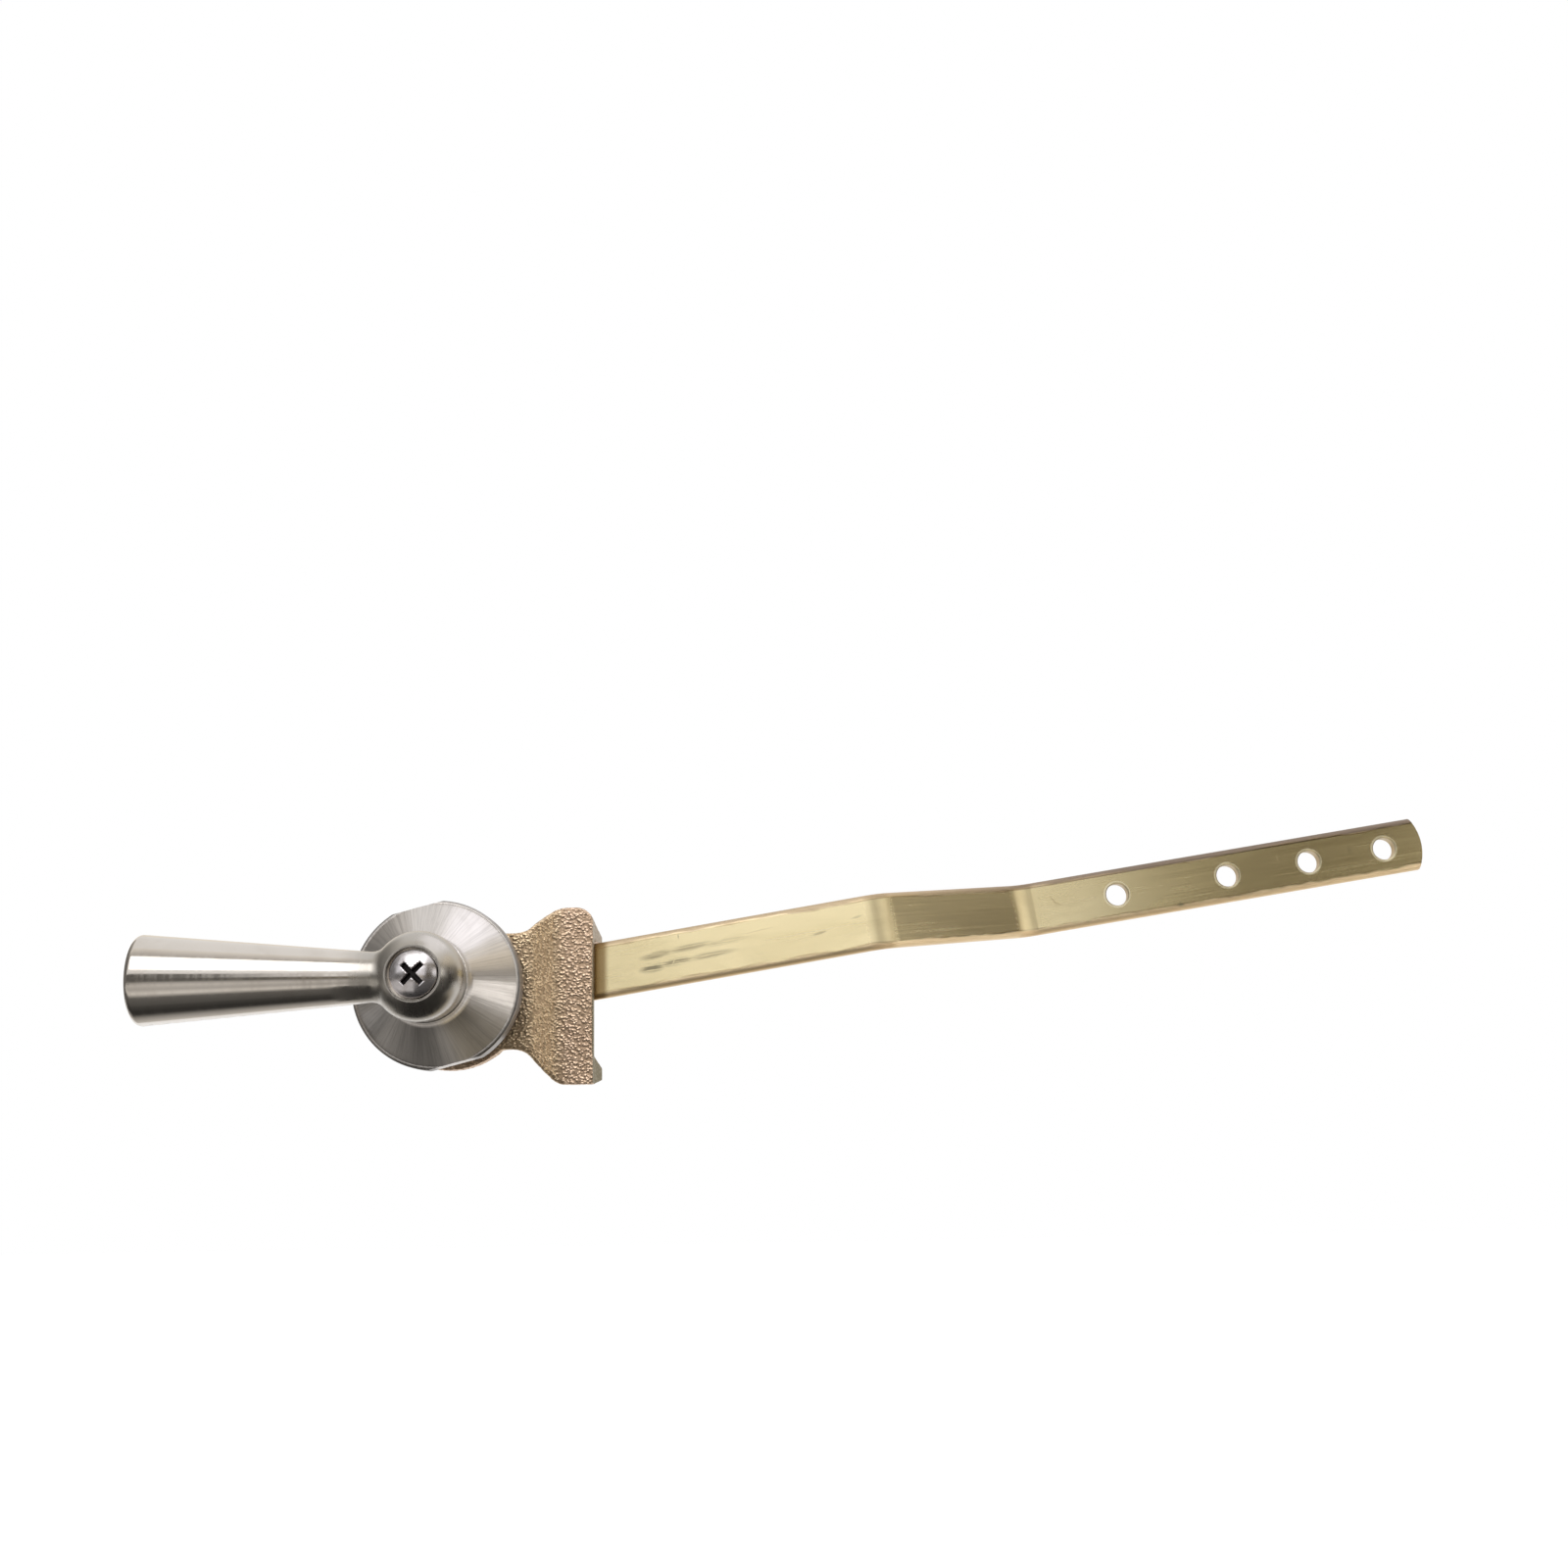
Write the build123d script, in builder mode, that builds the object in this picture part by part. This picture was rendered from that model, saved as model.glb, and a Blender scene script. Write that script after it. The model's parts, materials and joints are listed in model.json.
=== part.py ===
from build123d import *
from math import cos, radians, sin, tan
import os

os.makedirs("parts", exist_ok=True)

# A cistern lever for the front wall of a tank. The pivot is the Y axis. The wall's outer face is the plane
# Y = 0, the user stands at -Y, the arm reaches towards +X inside the tank, and Z is up.

# Tank wall and gaskets
wall_thickness = 9.0
outer_gasket_thickness = 1.0
outer_gasket_radius = 15.0
inner_gasket_thickness = 1.5
inner_gasket_radius = 15.2
gasket_bore_clearance = 0.4

# Escutcheon
rim_radius = 17.3
rim_height = 4.2
rim_land = 0.75
rim_edge_round = 0.35
escutcheon_height = 14.9
escutcheon_neck_radius = 8.7
escutcheon_neck_height = 2.4
escutcheon_flare = 2.5
spindle_hole_clearance = 1.2
wrench_flat_distance = 16.4
wrench_flat_angle = 104.0

# Bracket casting
shank_radius = 9.0
shank_projection = 8.0
shank_chamfer = 0.8
thread_clearance = 0.1
flange_radius = 16.4
flange_thickness = 4.0
boss_radius = 10.0
boss_height = 0.8
neck_half_width = 12.3
neck_end = 15.3
neck_round = 4.5
bar_inner_edge = 21.7
bar_outer_edge = 29.55
bar_top = 18.1
bar_bottom = 19.6
bar_corner_round = 3.5
bar_shoulder_round = 4.2
bar_setback = 4.3
bar_setback_run = 4.9
bar_thickness = 3.2
valley_round = 3.0
cast_edge_round = 0.6
lug_length = 7.0
lug_inner_edge = 22.6
lug_side_draft = 7.5
upper_lug_tip_height = 1.4
lower_lug_tip_height = 2.6
upper_lug_height = 4.3
lower_lug_draft = 18.0
stop_clearance = 0.35

# Spindle, bushes and running fits
spindle_radius = 4.0
spindle_square = 6.0
square_clearance = 0.05
running_clearance = 0.05
bush_wall = 2.0
bush_seat_clearance = 0.02
bush_length = 8.0
bush_flange_radius = 7.8
bush_flange_thickness = 1.2
bush_flange_gap = 0.4
end_play = 0.3
collar_radius = 7.6

# Handle
hub_gap = 0.4
hub_height = 11.2
hub_radius = 8.92
hub_bottom_radius = 8.45
hub_dome_height = 6.4
hub_ring_land = 0.45
hub_blend = 3.4
grip_axis_height = 5.2
grip_root_station = 16.0
grip_root_radius = 5.6
grip_end_radius = 8.95
grip_length = 55.9
grip_end_round = 1.8
grip_end_dome = 0.4
grip_lift = 0.4
socket_depth = 7.0
socket_spare = 0.3

# Handle screw and its lock washer
screw_radius = 2.5
screw_length = 12.0
screw_head_radius = 4.65
screw_head_edge = 1.0
screw_head_height = 2.3
screw_point_chamfer = 0.6
screw_hole_clearance = 0.25
counterbore_radius = 5.15
counterbore_depth = 2.2
lock_washer_radius = 4.2
lock_washer_thickness = 0.8
lock_washer_slit = 0.8
lock_washer_slit_lean = 20.0
tapped_hole_spare = 1.5
recess_span = 5.4
recess_width = 1.1
recess_depth = 1.7
recess_taper = 8.0
recess_angle = 45.0

# Arm
strip_width = 12.0
strip_thickness = 3.0
strip_edge_round = 1.1
arm_lift = 8.9
arm_lower_limit = -13.3
arm_bar_gap = 0.6
arm_inner_reach = 9.0
crank_run = 33.2
crank_depth = 28.2
tail_length = 93.6
tail_toe = 3.1
arm_reach = 219.8
arm_tip_radius = 11.5
bend_inner_radius = 7.0
chain_hole_radius = 2.55
chain_hole_deburr = 0.25
deburr_angle = 90.0
chain_hole_setbacks = [71.9, 45.9, 26.7, 8.8]

# Arm fasteners
stud_radius = 3.0
stud_spare = 1.0
stud_chamfer = 0.5
square_recess = 0.2
arm_washer_radius = 6.0
arm_washer_thickness = 1.2
arm_lock_washer_radius = 5.3
arm_lock_washer_thickness = 1.5
arm_nut_across_flats = 10.0
arm_nut_thickness = 4.0
arm_nut_sides = 6
nut_corner_angle = 30.0

# Stations along the pivot axis, from the user's side to the tank's inside
escutcheon_back = -outer_gasket_thickness
escutcheon_top = escutcheon_back - escutcheon_height
rim_front = escutcheon_back - rim_height
hub_bottom = escutcheon_top - hub_gap
hub_top = hub_bottom - hub_height
hub_widest = hub_top + hub_dome_height
grip_axis = hub_bottom - grip_axis_height
counterbore_floor = hub_top + counterbore_depth
screw_seat = counterbore_floor - lock_washer_thickness
screw_point = screw_seat + screw_length
spindle_front = hub_bottom - socket_depth + socket_spare
shank_front = -shank_projection
flange_front = wall_thickness + inner_gasket_thickness
flange_back = flange_front + flange_thickness
boss_back = flange_back + boss_height
bar_front = flange_front + bar_setback
bar_back = bar_front + bar_thickness
arm_front = bar_back + arm_bar_gap
arm_back = arm_front + strip_thickness
lug_back = bar_back + lug_length
collar_front = boss_back + bush_flange_thickness + end_play
arm_lock_washer_front = arm_back + arm_washer_thickness
nut_front = arm_lock_washer_front + arm_lock_washer_thickness
nut_back = nut_front + arm_nut_thickness
stud_end = nut_back + stud_spare

# Radii that fit one another
bush_outer_radius = spindle_radius + bush_wall
bush_inner_radius = spindle_radius + running_clearance
shank_bore_radius = bush_outer_radius + bush_seat_clearance
gasket_bore_radius = shank_radius + gasket_bore_clearance
screw_thread_radius = screw_radius - thread_clearance
stud_bore_radius = stud_radius + thread_clearance
nut_flat_radius = arm_nut_across_flats / 2
nut_corner_radius = nut_flat_radius / cos(radians(180 / arm_nut_sides))
nut_corner_drop = (nut_corner_radius - nut_flat_radius) * tan(radians(nut_corner_angle))
socket_square = spindle_square + 2 * square_clearance
socket_radius = spindle_radius + square_clearance

# Directions of the arm and the grip in their plane of swing
arm_direction = (cos(radians(arm_lift)), 0, sin(radians(arm_lift)))
arm_across = (-sin(radians(arm_lift)), 0, cos(radians(arm_lift)))
grip_direction = (-cos(radians(grip_lift)), 0, sin(radians(grip_lift)))


def station(y):
    # The plane square to the pivot at Y = y, seen from the front: X right, Z up, its normal towards -Y
    return Plane.XZ.offset(-y)


def lever_station(y):
    # The same plane turned with the arm
    return Plane(origin=(0, y, 0), x_dir=arm_direction, z_dir=(0, -1, 0))


def ring(outer_radius, inner_radius, front, thickness):
    # A flat ring about the pivot, from its front face back
    with BuildPart() as flat_ring:
        with BuildSketch(station(front)):
            Circle(outer_radius)
            Circle(inner_radius, mode=Mode.SUBTRACT)
        extrude(amount=-thickness)
    return flat_ring


def split_ring(outer_radius, inner_radius, front, thickness, slit):
    # A spring lock washer: a flat ring cut through aslant on one side
    wall = outer_radius - inner_radius
    with BuildPart() as cut_ring:
        with BuildSketch(station(front)):
            Circle(outer_radius)
            Circle(inner_radius, mode=Mode.SUBTRACT)
            with Locations((0, inner_radius + wall / 2)):
                Rectangle(slit, 2 * wall, rotation=lock_washer_slit_lean, mode=Mode.SUBTRACT)
        extrude(amount=-thickness)
    return cut_ring


def flanged_bush(flange_face, sleeve_end, seat):
    # A nylon sleeve whose flange lies against the seat
    with BuildPart() as bush:
        with BuildSketch(Plane.XY):
            with BuildLine():
                Polyline((bush_inner_radius, flange_face), (bush_flange_radius, flange_face),
                         (bush_flange_radius, seat), (bush_outer_radius, seat),
                         (bush_outer_radius, sleeve_end), (bush_inner_radius, sleeve_end), close=True)
            make_face()
        revolve(axis=Axis.Y)
    return bush


# Handle: domed hub and tapered grip, cast as one. The hub is drawn with a longer skirt, so that the blend
# into the grip runs out below it, and the skirt is then cut off square.
hub_skirt = 2 * hub_blend
hub_wall_slope = (hub_radius - hub_bottom_radius) / (hub_bottom - hub_widest)
hub_skirt_radius = hub_bottom_radius - hub_wall_slope * hub_skirt
grip_side_end = grip_length - grip_end_round
grip_taper = (grip_end_radius - grip_root_radius) / (grip_side_end - grip_root_station)
grip_start_radius = grip_root_radius - grip_taper * grip_root_station
grip_face_radius = grip_end_radius - grip_end_round
grip_plane = Plane(origin=(0, grip_axis, 0), x_dir=grip_direction, z_dir=(0, -1, 0))

with BuildPart() as handle:
    with BuildSketch(Plane.XY):
        with BuildLine():
            Polyline((0, hub_top), (0, hub_bottom + hub_skirt), (hub_skirt_radius, hub_bottom + hub_skirt),
                     (hub_radius, hub_widest))
            dome = TangentArc((hub_radius, hub_widest), (counterbore_radius + hub_ring_land, hub_top),
                              tangent=(hub_wall_slope, -1))
            Line(dome @ 1, (0, hub_top))
        make_face()
    revolve(axis=Axis.Y)
    with BuildSketch(grip_plane):
        with BuildLine():
            Polyline((grip_length, 0), (0, 0), (0, grip_start_radius), (grip_side_end, grip_end_radius))
            TangentArc((grip_side_end, grip_end_radius), (grip_length - grip_end_dome, grip_face_radius),
                       tangent=(1, grip_taper))
            TangentArc((grip_length, 0), (grip_length - grip_end_dome, grip_face_radius), tangent=(0, 1))
        make_face()
    revolve(axis=Axis((0, grip_axis, 0), grip_direction))
    fillet(handle.edges().filter_by(GeomType.BSPLINE), radius=hub_blend)
    with BuildSketch(station(hub_bottom)):
        Circle(hub_radius + hub_blend)
    extrude(amount=-hub_skirt, mode=Mode.SUBTRACT)
    with BuildSketch(station(hub_top)):
        Circle(counterbore_radius)
    extrude(amount=-counterbore_depth, mode=Mode.SUBTRACT)
    with BuildSketch(station(counterbore_floor)):
        Circle(screw_radius + screw_hole_clearance)
    extrude(amount=-hub_height, mode=Mode.SUBTRACT)
    with BuildSketch(lever_station(hub_bottom)):
        Circle(socket_radius)
        Rectangle(socket_square, socket_square, mode=Mode.INTERSECT)
    extrude(amount=socket_depth, mode=Mode.SUBTRACT)

# Handle screw: domed head with a tapered cross recess
head_top = screw_seat - screw_head_height
with BuildPart() as handle_screw:
    with BuildSketch(Plane.XY):
        with BuildLine():
            Polyline((0, head_top), (0, screw_point), (screw_thread_radius, screw_point),
                     (screw_thread_radius, screw_seat), (screw_head_radius, screw_seat),
                     (screw_head_radius, screw_seat - screw_head_edge))
            TangentArc((0, head_top), (screw_head_radius, screw_seat - screw_head_edge), tangent=(1, 0))
        make_face()
    revolve(axis=Axis.Y)
    chamfer(handle_screw.faces().sort_by(Axis.Y)[-1].edges(), length=screw_point_chamfer)
    with BuildSketch(station(head_top)):
        Rectangle(recess_span, recess_width, rotation=recess_angle)
        Rectangle(recess_width, recess_span, rotation=recess_angle)
    extrude(amount=-recess_depth, taper=recess_taper, mode=Mode.SUBTRACT)

screw_lock_washer = split_ring(lock_washer_radius, screw_radius + screw_hole_clearance, screw_seat,
                               lock_washer_thickness, lock_washer_slit)

# Escutcheon: a turned cone that screws onto the shank, with two flats for a wrench
cone_foot_radius = rim_radius - rim_land
cone_top = escutcheon_top + escutcheon_neck_height
pocket_depth = shank_projection - outer_gasket_thickness + bush_flange_thickness + bush_flange_gap
with BuildPart() as escutcheon:
    with BuildSketch(Plane.XY):
        with BuildLine():
            Polyline((0, escutcheon_back), (0, escutcheon_top), (escutcheon_neck_radius, escutcheon_top),
                     (escutcheon_neck_radius, cone_top), (cone_foot_radius, rim_front),
                     (rim_radius, rim_front), (rim_radius, escutcheon_back), close=True)
        make_face()
        for corner, radius in (((escutcheon_neck_radius, cone_top), escutcheon_flare),
                               ((escutcheon_neck_radius, escutcheon_top), rim_edge_round),
                               ((rim_radius, rim_front), rim_edge_round),
                               ((rim_radius, escutcheon_back), rim_edge_round)):
            fillet(vertices().sort_by_distance(corner)[0], radius=radius)
    revolve(axis=Axis.Y)
    with BuildSketch(station(escutcheon_back)):
        with PolarLocations(wrench_flat_distance + rim_radius / 2, 2, start_angle=wrench_flat_angle):
            Rectangle(rim_radius, 2 * rim_radius)
    extrude(amount=escutcheon_height, mode=Mode.SUBTRACT)
    with BuildSketch(station(escutcheon_back)):
        Circle(shank_radius + thread_clearance)
    extrude(amount=pocket_depth, mode=Mode.SUBTRACT)
    with BuildSketch(station(escutcheon_back)):
        Circle(spindle_radius + spindle_hole_clearance)
    extrude(amount=escutcheon_height, mode=Mode.SUBTRACT)

outer_gasket = ring(outer_gasket_radius, gasket_bore_radius, escutcheon_back, outer_gasket_thickness)
inner_gasket = ring(inner_gasket_radius, gasket_bore_radius, wall_thickness, inner_gasket_thickness)

# Bracket: one sand casting with a shank, a flange, a neck that steps back, and a stop bar with two lugs.
# The lugs' stop faces stand clear of the arm's edges at the two ends of its travel.
stop_distance = strip_width / 2 + stop_clearance
arm_upper, arm_lower = radians(arm_lift), radians(arm_lower_limit)
upper_stop_z = bar_outer_edge * tan(arm_upper) + stop_distance / cos(arm_upper)
lower_stop_z = bar_outer_edge * tan(arm_lower) - stop_distance / cos(arm_lower)
lower_lug_inner_tip = lower_stop_z - lug_length * tan(radians(lower_lug_draft))
valley_start = bar_inner_edge - bar_setback_run
neck_back_end = bar_inner_edge - bar_thickness / 2
plate_reach = bar_top + bar_bottom
bar_corner_limit = (bar_outer_edge - bar_inner_edge) / 2
bar_corner_radius = min(bar_corner_round, bar_corner_limit)
lug_outer_tip = bar_outer_edge + lug_length * tan(radians(lug_side_draft))

with BuildPart() as bracket:
    with BuildSketch(station(flange_front)) as plate_outline:
        with BuildLine():
            Polyline((0, neck_half_width), (neck_end, neck_half_width), (bar_inner_edge, bar_top),
                     (bar_outer_edge, bar_top), (bar_outer_edge, -bar_bottom), (bar_inner_edge, -bar_bottom),
                     (neck_end, -neck_half_width), (0, -neck_half_width), close=True)
        make_face()
        for corner, radius in (((neck_end, neck_half_width), neck_round),
                               ((neck_end, -neck_half_width), neck_round),
                               ((bar_inner_edge, bar_top), bar_shoulder_round),
                               ((bar_inner_edge, -bar_bottom), bar_shoulder_round),
                               ((bar_outer_edge, bar_top), bar_corner_radius),
                               ((bar_outer_edge, -bar_bottom), bar_corner_radius)):
            fillet(plate_outline.vertices().sort_by_distance(corner)[0], radius=radius)
    extrude(amount=flange_front - bar_back)
    # Seen from above, the plate steps back from the flange to the bar
    with BuildSketch(Plane.XY) as plate_step:
        with BuildLine():
            Polyline((0, flange_front), (valley_start, flange_front), (bar_inner_edge, bar_front),
                     (bar_outer_edge, bar_front), (bar_outer_edge, bar_back), (neck_back_end, bar_back),
                     (neck_back_end - bar_setback_run, flange_back), (0, flange_back), close=True)
        make_face()
        for corner in ((valley_start, flange_front), (bar_inner_edge, bar_front)):
            fillet(plate_step.vertices().sort_by_distance(corner)[0], radius=valley_round)
    extrude(amount=plate_reach, both=True, mode=Mode.INTERSECT)
    fillet(bracket.edges().filter_by(lambda edge: edge.center().X > neck_end), radius=cast_edge_round)
    with BuildSketch(station(flange_front)):
        Circle(flange_radius)
    extrude(amount=-flange_thickness)
    # Lugs, in side view: the upper one has a square stop face and a sloping back, the lower one slopes
    # on both sides
    with BuildSketch(Plane.YZ.offset(lug_inner_edge)):
        with BuildLine():
            Polyline((bar_front, upper_stop_z), (lug_back, upper_stop_z),
                     (lug_back, upper_stop_z + upper_lug_tip_height), (bar_back, upper_stop_z + upper_lug_height),
                     (bar_front, upper_stop_z + upper_lug_height), close=True)
        make_face()
        with BuildLine():
            Polyline((bar_front, lower_stop_z), (bar_back, lower_stop_z), (lug_back, lower_lug_inner_tip),
                     (lug_back, lower_lug_inner_tip - lower_lug_tip_height), (bar_back, -bar_bottom),
                     (bar_front, -bar_bottom), close=True)
        make_face()
    extrude(amount=lug_outer_tip - lug_inner_edge)
    with BuildSketch(Plane.XY):
        with BuildLine():
            Polyline((bar_outer_edge, bar_front), (bar_outer_edge, bar_back), (lug_outer_tip, lug_back),
                     (2 * bar_outer_edge, lug_back), (2 * bar_outer_edge, bar_front), close=True)
        make_face()
    extrude(amount=plate_reach, both=True, mode=Mode.SUBTRACT)
    with BuildSketch(station(flange_back)):
        Circle(boss_radius)
    extrude(amount=-boss_height)
    with BuildSketch(station(flange_front)):
        Circle(shank_radius)
    extrude(amount=flange_front - shank_front)
    chamfer(bracket.faces().sort_by(Axis.Y)[0].edges(), length=shank_chamfer)
    with BuildSketch(station(boss_back)):
        Circle(shank_bore_radius)
    extrude(amount=boss_back - shank_front, mode=Mode.SUBTRACT)

front_bush = flanged_bush(shank_front - bush_flange_thickness, shank_front + bush_length, shank_front)
rear_bush = flanged_bush(boss_back + bush_flange_thickness, boss_back - bush_length, boss_back)

# Spindle: a journal in the two bushes, a collar behind the rear one, and a square at each end
with BuildPart() as spindle:
    with BuildSketch(station(hub_bottom)):
        Circle(spindle_radius)
    extrude(amount=hub_bottom - arm_front)
    with BuildSketch(station(collar_front)):
        Circle(collar_radius)
    extrude(amount=collar_front - arm_front)
    for end, length in ((hub_bottom, hub_bottom - spindle_front),
                        (arm_front, square_recess - strip_thickness)):
        with BuildSketch(lever_station(end)):
            Circle(spindle_radius)
            Rectangle(spindle_square, spindle_square, mode=Mode.INTERSECT)
        extrude(amount=length)
    with BuildSketch(station(arm_back - square_recess)):
        Circle(stud_radius)
    extrude(amount=arm_back - square_recess - stud_end)
    chamfer(spindle.faces().sort_by(Axis.Y)[-1].edges(), length=stud_chamfer)
    with BuildSketch(station(spindle_front)):
        Circle(screw_radius)
    extrude(amount=spindle_front - screw_point - tapped_hole_spare, mode=Mode.SUBTRACT)

# Arm: a strip with rounded edges, cranked back into the tank, with chain holes along its tail
crank_end = arm_reach - tail_length
crank_start = crank_end - crank_run
bend_outer_radius = bend_inner_radius + strip_thickness
tail_front = arm_front + crank_depth
tip_setback = arm_tip_radius - (arm_tip_radius ** 2 - (strip_width / 2) ** 2) ** 0.5
strip_end = arm_reach + tip_setback
strip_start = -arm_inner_reach - tip_setback
arm_plan = Plane(origin=(0, 0, 0), x_dir=arm_direction, z_dir=arm_across)
across_axis = Axis((0, 0, 0), arm_across)


def tail_depth(reach):
    # The tail's front face at a reach along the arm
    return tail_front + (reach - crank_end) * tan(radians(tail_toe))


def tail_plane(reach):
    # The plane of the tail's front face, its normal out of the face
    toe = radians(tail_toe)
    along = Vector(*arm_direction)
    into_tank = Vector(0, 1, 0)
    return Plane(origin=along * reach + into_tank * tail_depth(reach),
                 x_dir=along * cos(toe) + into_tank * sin(toe), z_dir=along * sin(toe) - into_tank * cos(toe))


with BuildPart() as arm:
    with BuildSketch(arm_plan):
        with BuildLine():
            FilletPolyline((strip_start, arm_front), (crank_start, arm_front), (crank_end, tail_front),
                           (strip_end, tail_depth(strip_end)), radius=[bend_outer_radius, bend_inner_radius])
            offset(amount=strip_thickness, side=Side.LEFT)
        make_face()
    extrude(amount=strip_width / 2, both=True)
    strip_sides = arm.faces().sort_by(across_axis)
    fillet(strip_sides[0].edges() + strip_sides[-1].edges(), radius=strip_edge_round)
    # Both ends are cut to a shallow arc
    with BuildSketch(lever_station(0)):
        with BuildLine():
            outer_tip = ThreePointArc((arm_reach - tip_setback, -strip_width / 2), (arm_reach, 0),
                                      (arm_reach - tip_setback, strip_width / 2))
            inner_tip = ThreePointArc((tip_setback - arm_inner_reach, strip_width / 2), (-arm_inner_reach, 0),
                                      (tip_setback - arm_inner_reach, -strip_width / 2))
            Line(outer_tip @ 1, inner_tip @ 0)
            Line(inner_tip @ 1, outer_tip @ 0)
        make_face()
    extrude(amount=arm_reach, both=True, mode=Mode.INTERSECT)
    # The chain holes are set off from the outer tip and deburred from both faces
    for setback in chain_hole_setbacks:
        front_face = tail_plane(arm_reach - setback)
        for face in (front_face, -front_face.offset(-strip_thickness)):
            with Locations(face):
                CounterSinkHole(chain_hole_radius, chain_hole_radius + chain_hole_deburr, strip_thickness,
                                deburr_angle)
    with BuildSketch(lever_station(arm_front)):
        Circle(socket_radius)
        Rectangle(socket_square, socket_square, mode=Mode.INTERSECT)
    extrude(amount=-strip_thickness, mode=Mode.SUBTRACT)

# Arm fasteners on the spindle's stud
arm_washer = ring(arm_washer_radius, stud_bore_radius, arm_back, arm_washer_thickness)
arm_lock_washer = split_ring(arm_lock_washer_radius, stud_bore_radius, arm_lock_washer_front,
                             arm_lock_washer_thickness, lock_washer_slit)

with BuildPart() as arm_nut:
    with BuildSketch(station(nut_front)):
        RegularPolygon(nut_flat_radius, arm_nut_sides, major_radius=False)
        Circle(stud_bore_radius, mode=Mode.SUBTRACT)
    extrude(amount=-arm_nut_thickness)
    # The corners are turned off at both ends
    with BuildSketch(Plane.XY):
        with BuildLine():
            Polyline((0, nut_front), (nut_flat_radius, nut_front),
                     (nut_corner_radius, nut_front + nut_corner_drop),
                     (nut_corner_radius, nut_back - nut_corner_drop),
                     (nut_flat_radius, nut_back), (0, nut_back), close=True)
        make_face()
    revolve(axis=Axis.Y, mode=Mode.INTERSECT)

pieces = {
    "handle": handle,
    "handle_screw": handle_screw,
    "screw_lock_washer": screw_lock_washer,
    "escutcheon": escutcheon,
    "outer_gasket": outer_gasket,
    "inner_gasket": inner_gasket,
    "bracket": bracket,
    "front_bush": front_bush,
    "rear_bush": rear_bush,
    "spindle": spindle,
    "arm": arm,
    "arm_washer": arm_washer,
    "arm_lock_washer": arm_lock_washer,
    "arm_nut": arm_nut,
}
for name, piece in pieces.items():
    piece.part.label = name
    export_step(piece.part, f"parts/{name}.step")
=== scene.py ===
import json
import math

import bmesh
import bpy
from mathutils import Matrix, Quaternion, Vector, noise


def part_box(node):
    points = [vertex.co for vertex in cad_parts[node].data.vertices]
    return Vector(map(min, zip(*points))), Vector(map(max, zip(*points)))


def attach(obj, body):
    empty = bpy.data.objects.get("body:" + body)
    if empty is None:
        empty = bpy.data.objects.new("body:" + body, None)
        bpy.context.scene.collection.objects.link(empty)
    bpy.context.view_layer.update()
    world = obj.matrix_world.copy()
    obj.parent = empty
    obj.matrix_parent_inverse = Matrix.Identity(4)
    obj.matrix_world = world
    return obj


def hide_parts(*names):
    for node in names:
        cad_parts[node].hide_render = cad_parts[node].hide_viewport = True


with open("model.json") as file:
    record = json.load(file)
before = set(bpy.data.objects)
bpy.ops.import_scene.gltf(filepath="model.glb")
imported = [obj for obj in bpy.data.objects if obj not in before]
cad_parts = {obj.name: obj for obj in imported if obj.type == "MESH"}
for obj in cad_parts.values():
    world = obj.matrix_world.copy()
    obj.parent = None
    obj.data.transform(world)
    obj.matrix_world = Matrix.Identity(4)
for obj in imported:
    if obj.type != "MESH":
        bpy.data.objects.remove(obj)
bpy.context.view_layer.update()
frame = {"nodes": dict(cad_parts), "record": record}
cad = frame["nodes"]
mm = 0.001
print("frame loaded:", len(cad), "nodes")


# node helpers

def addNode(tree, kind, inputs=None, **settings):
    node = tree.nodes.new(kind)
    for name, value in settings.items():
        setattr(node, name, value)
    for key, value in (inputs or {}).items():
        plug(tree, value, node.inputs[key])
    return node


def plug(tree, value, socket):
    if isinstance(value, bpy.types.NodeSocket):
        tree.links.new(value, socket)
    else:
        socket.default_value = value


def mathNode(tree, operation, a, b=0.0, clamp=False):
    return addNode(tree, "ShaderNodeMath", {0: a, 1: b}, operation=operation, use_clamp=clamp).outputs[0]


def plus(tree, a, b):
    return mathNode(tree, "ADD", a, b)


def minus(tree, a, b):
    return mathNode(tree, "SUBTRACT", a, b)


def times(tree, a, b):
    return mathNode(tree, "MULTIPLY", a, b)


def joined(tree, masks):
    # the strongest of several masks
    total = masks[0]
    for mask in masks[1:]:
        total = mathNode(tree, "MAXIMUM", total, mask)
    return total


def split(tree, vector):
    return addNode(tree, "ShaderNodeSeparateXYZ", {0: vector}).outputs


def merge(tree, parts):
    return addNode(tree, "ShaderNodeCombineXYZ", parts).outputs[0]


def vectorMath(tree, operation, inputs):
    return addNode(tree, "ShaderNodeVectorMath", inputs, operation=operation).outputs[0]


def lengthOf(tree, vector):
    return addNode(tree, "ShaderNodeVectorMath", {0: vector}, operation="LENGTH").outputs["Value"]


def mixColour(tree, factor, a, b, blend="MIX"):
    # sockets 0, 6 and 7 are the colour mix's factor, A and B, and output 2 its result
    node = addNode(tree, "ShaderNodeMix", {0: factor, 6: a, 7: b}, data_type="RGBA", blend_type=blend)
    return node.outputs[2]


def fade(tree, value, fromLow, fromHigh, toLow=0.0, toHigh=1.0):
    # a soft step of a value between two limits
    node = addNode(tree, "ShaderNodeMapRange", {0: value, 1: fromLow, 2: fromHigh, 3: toLow, 4: toHigh},
                   interpolation_type="SMOOTHSTEP")
    return node.outputs[0]


def rgb(colour):
    return (*colour, 1.0)


def newMaterial(name, metallic=0.0):
    material = bpy.data.materials.new(name)
    material.use_nodes = True
    tree = material.node_tree
    tree.nodes.clear()
    shader = addNode(tree, "ShaderNodeBsdfPrincipled")
    shader.inputs["Metallic"].default_value = metallic
    output = addNode(tree, "ShaderNodeOutputMaterial")
    tree.links.new(shader.outputs[0], output.inputs["Surface"])
    return material, tree, shader


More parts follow.
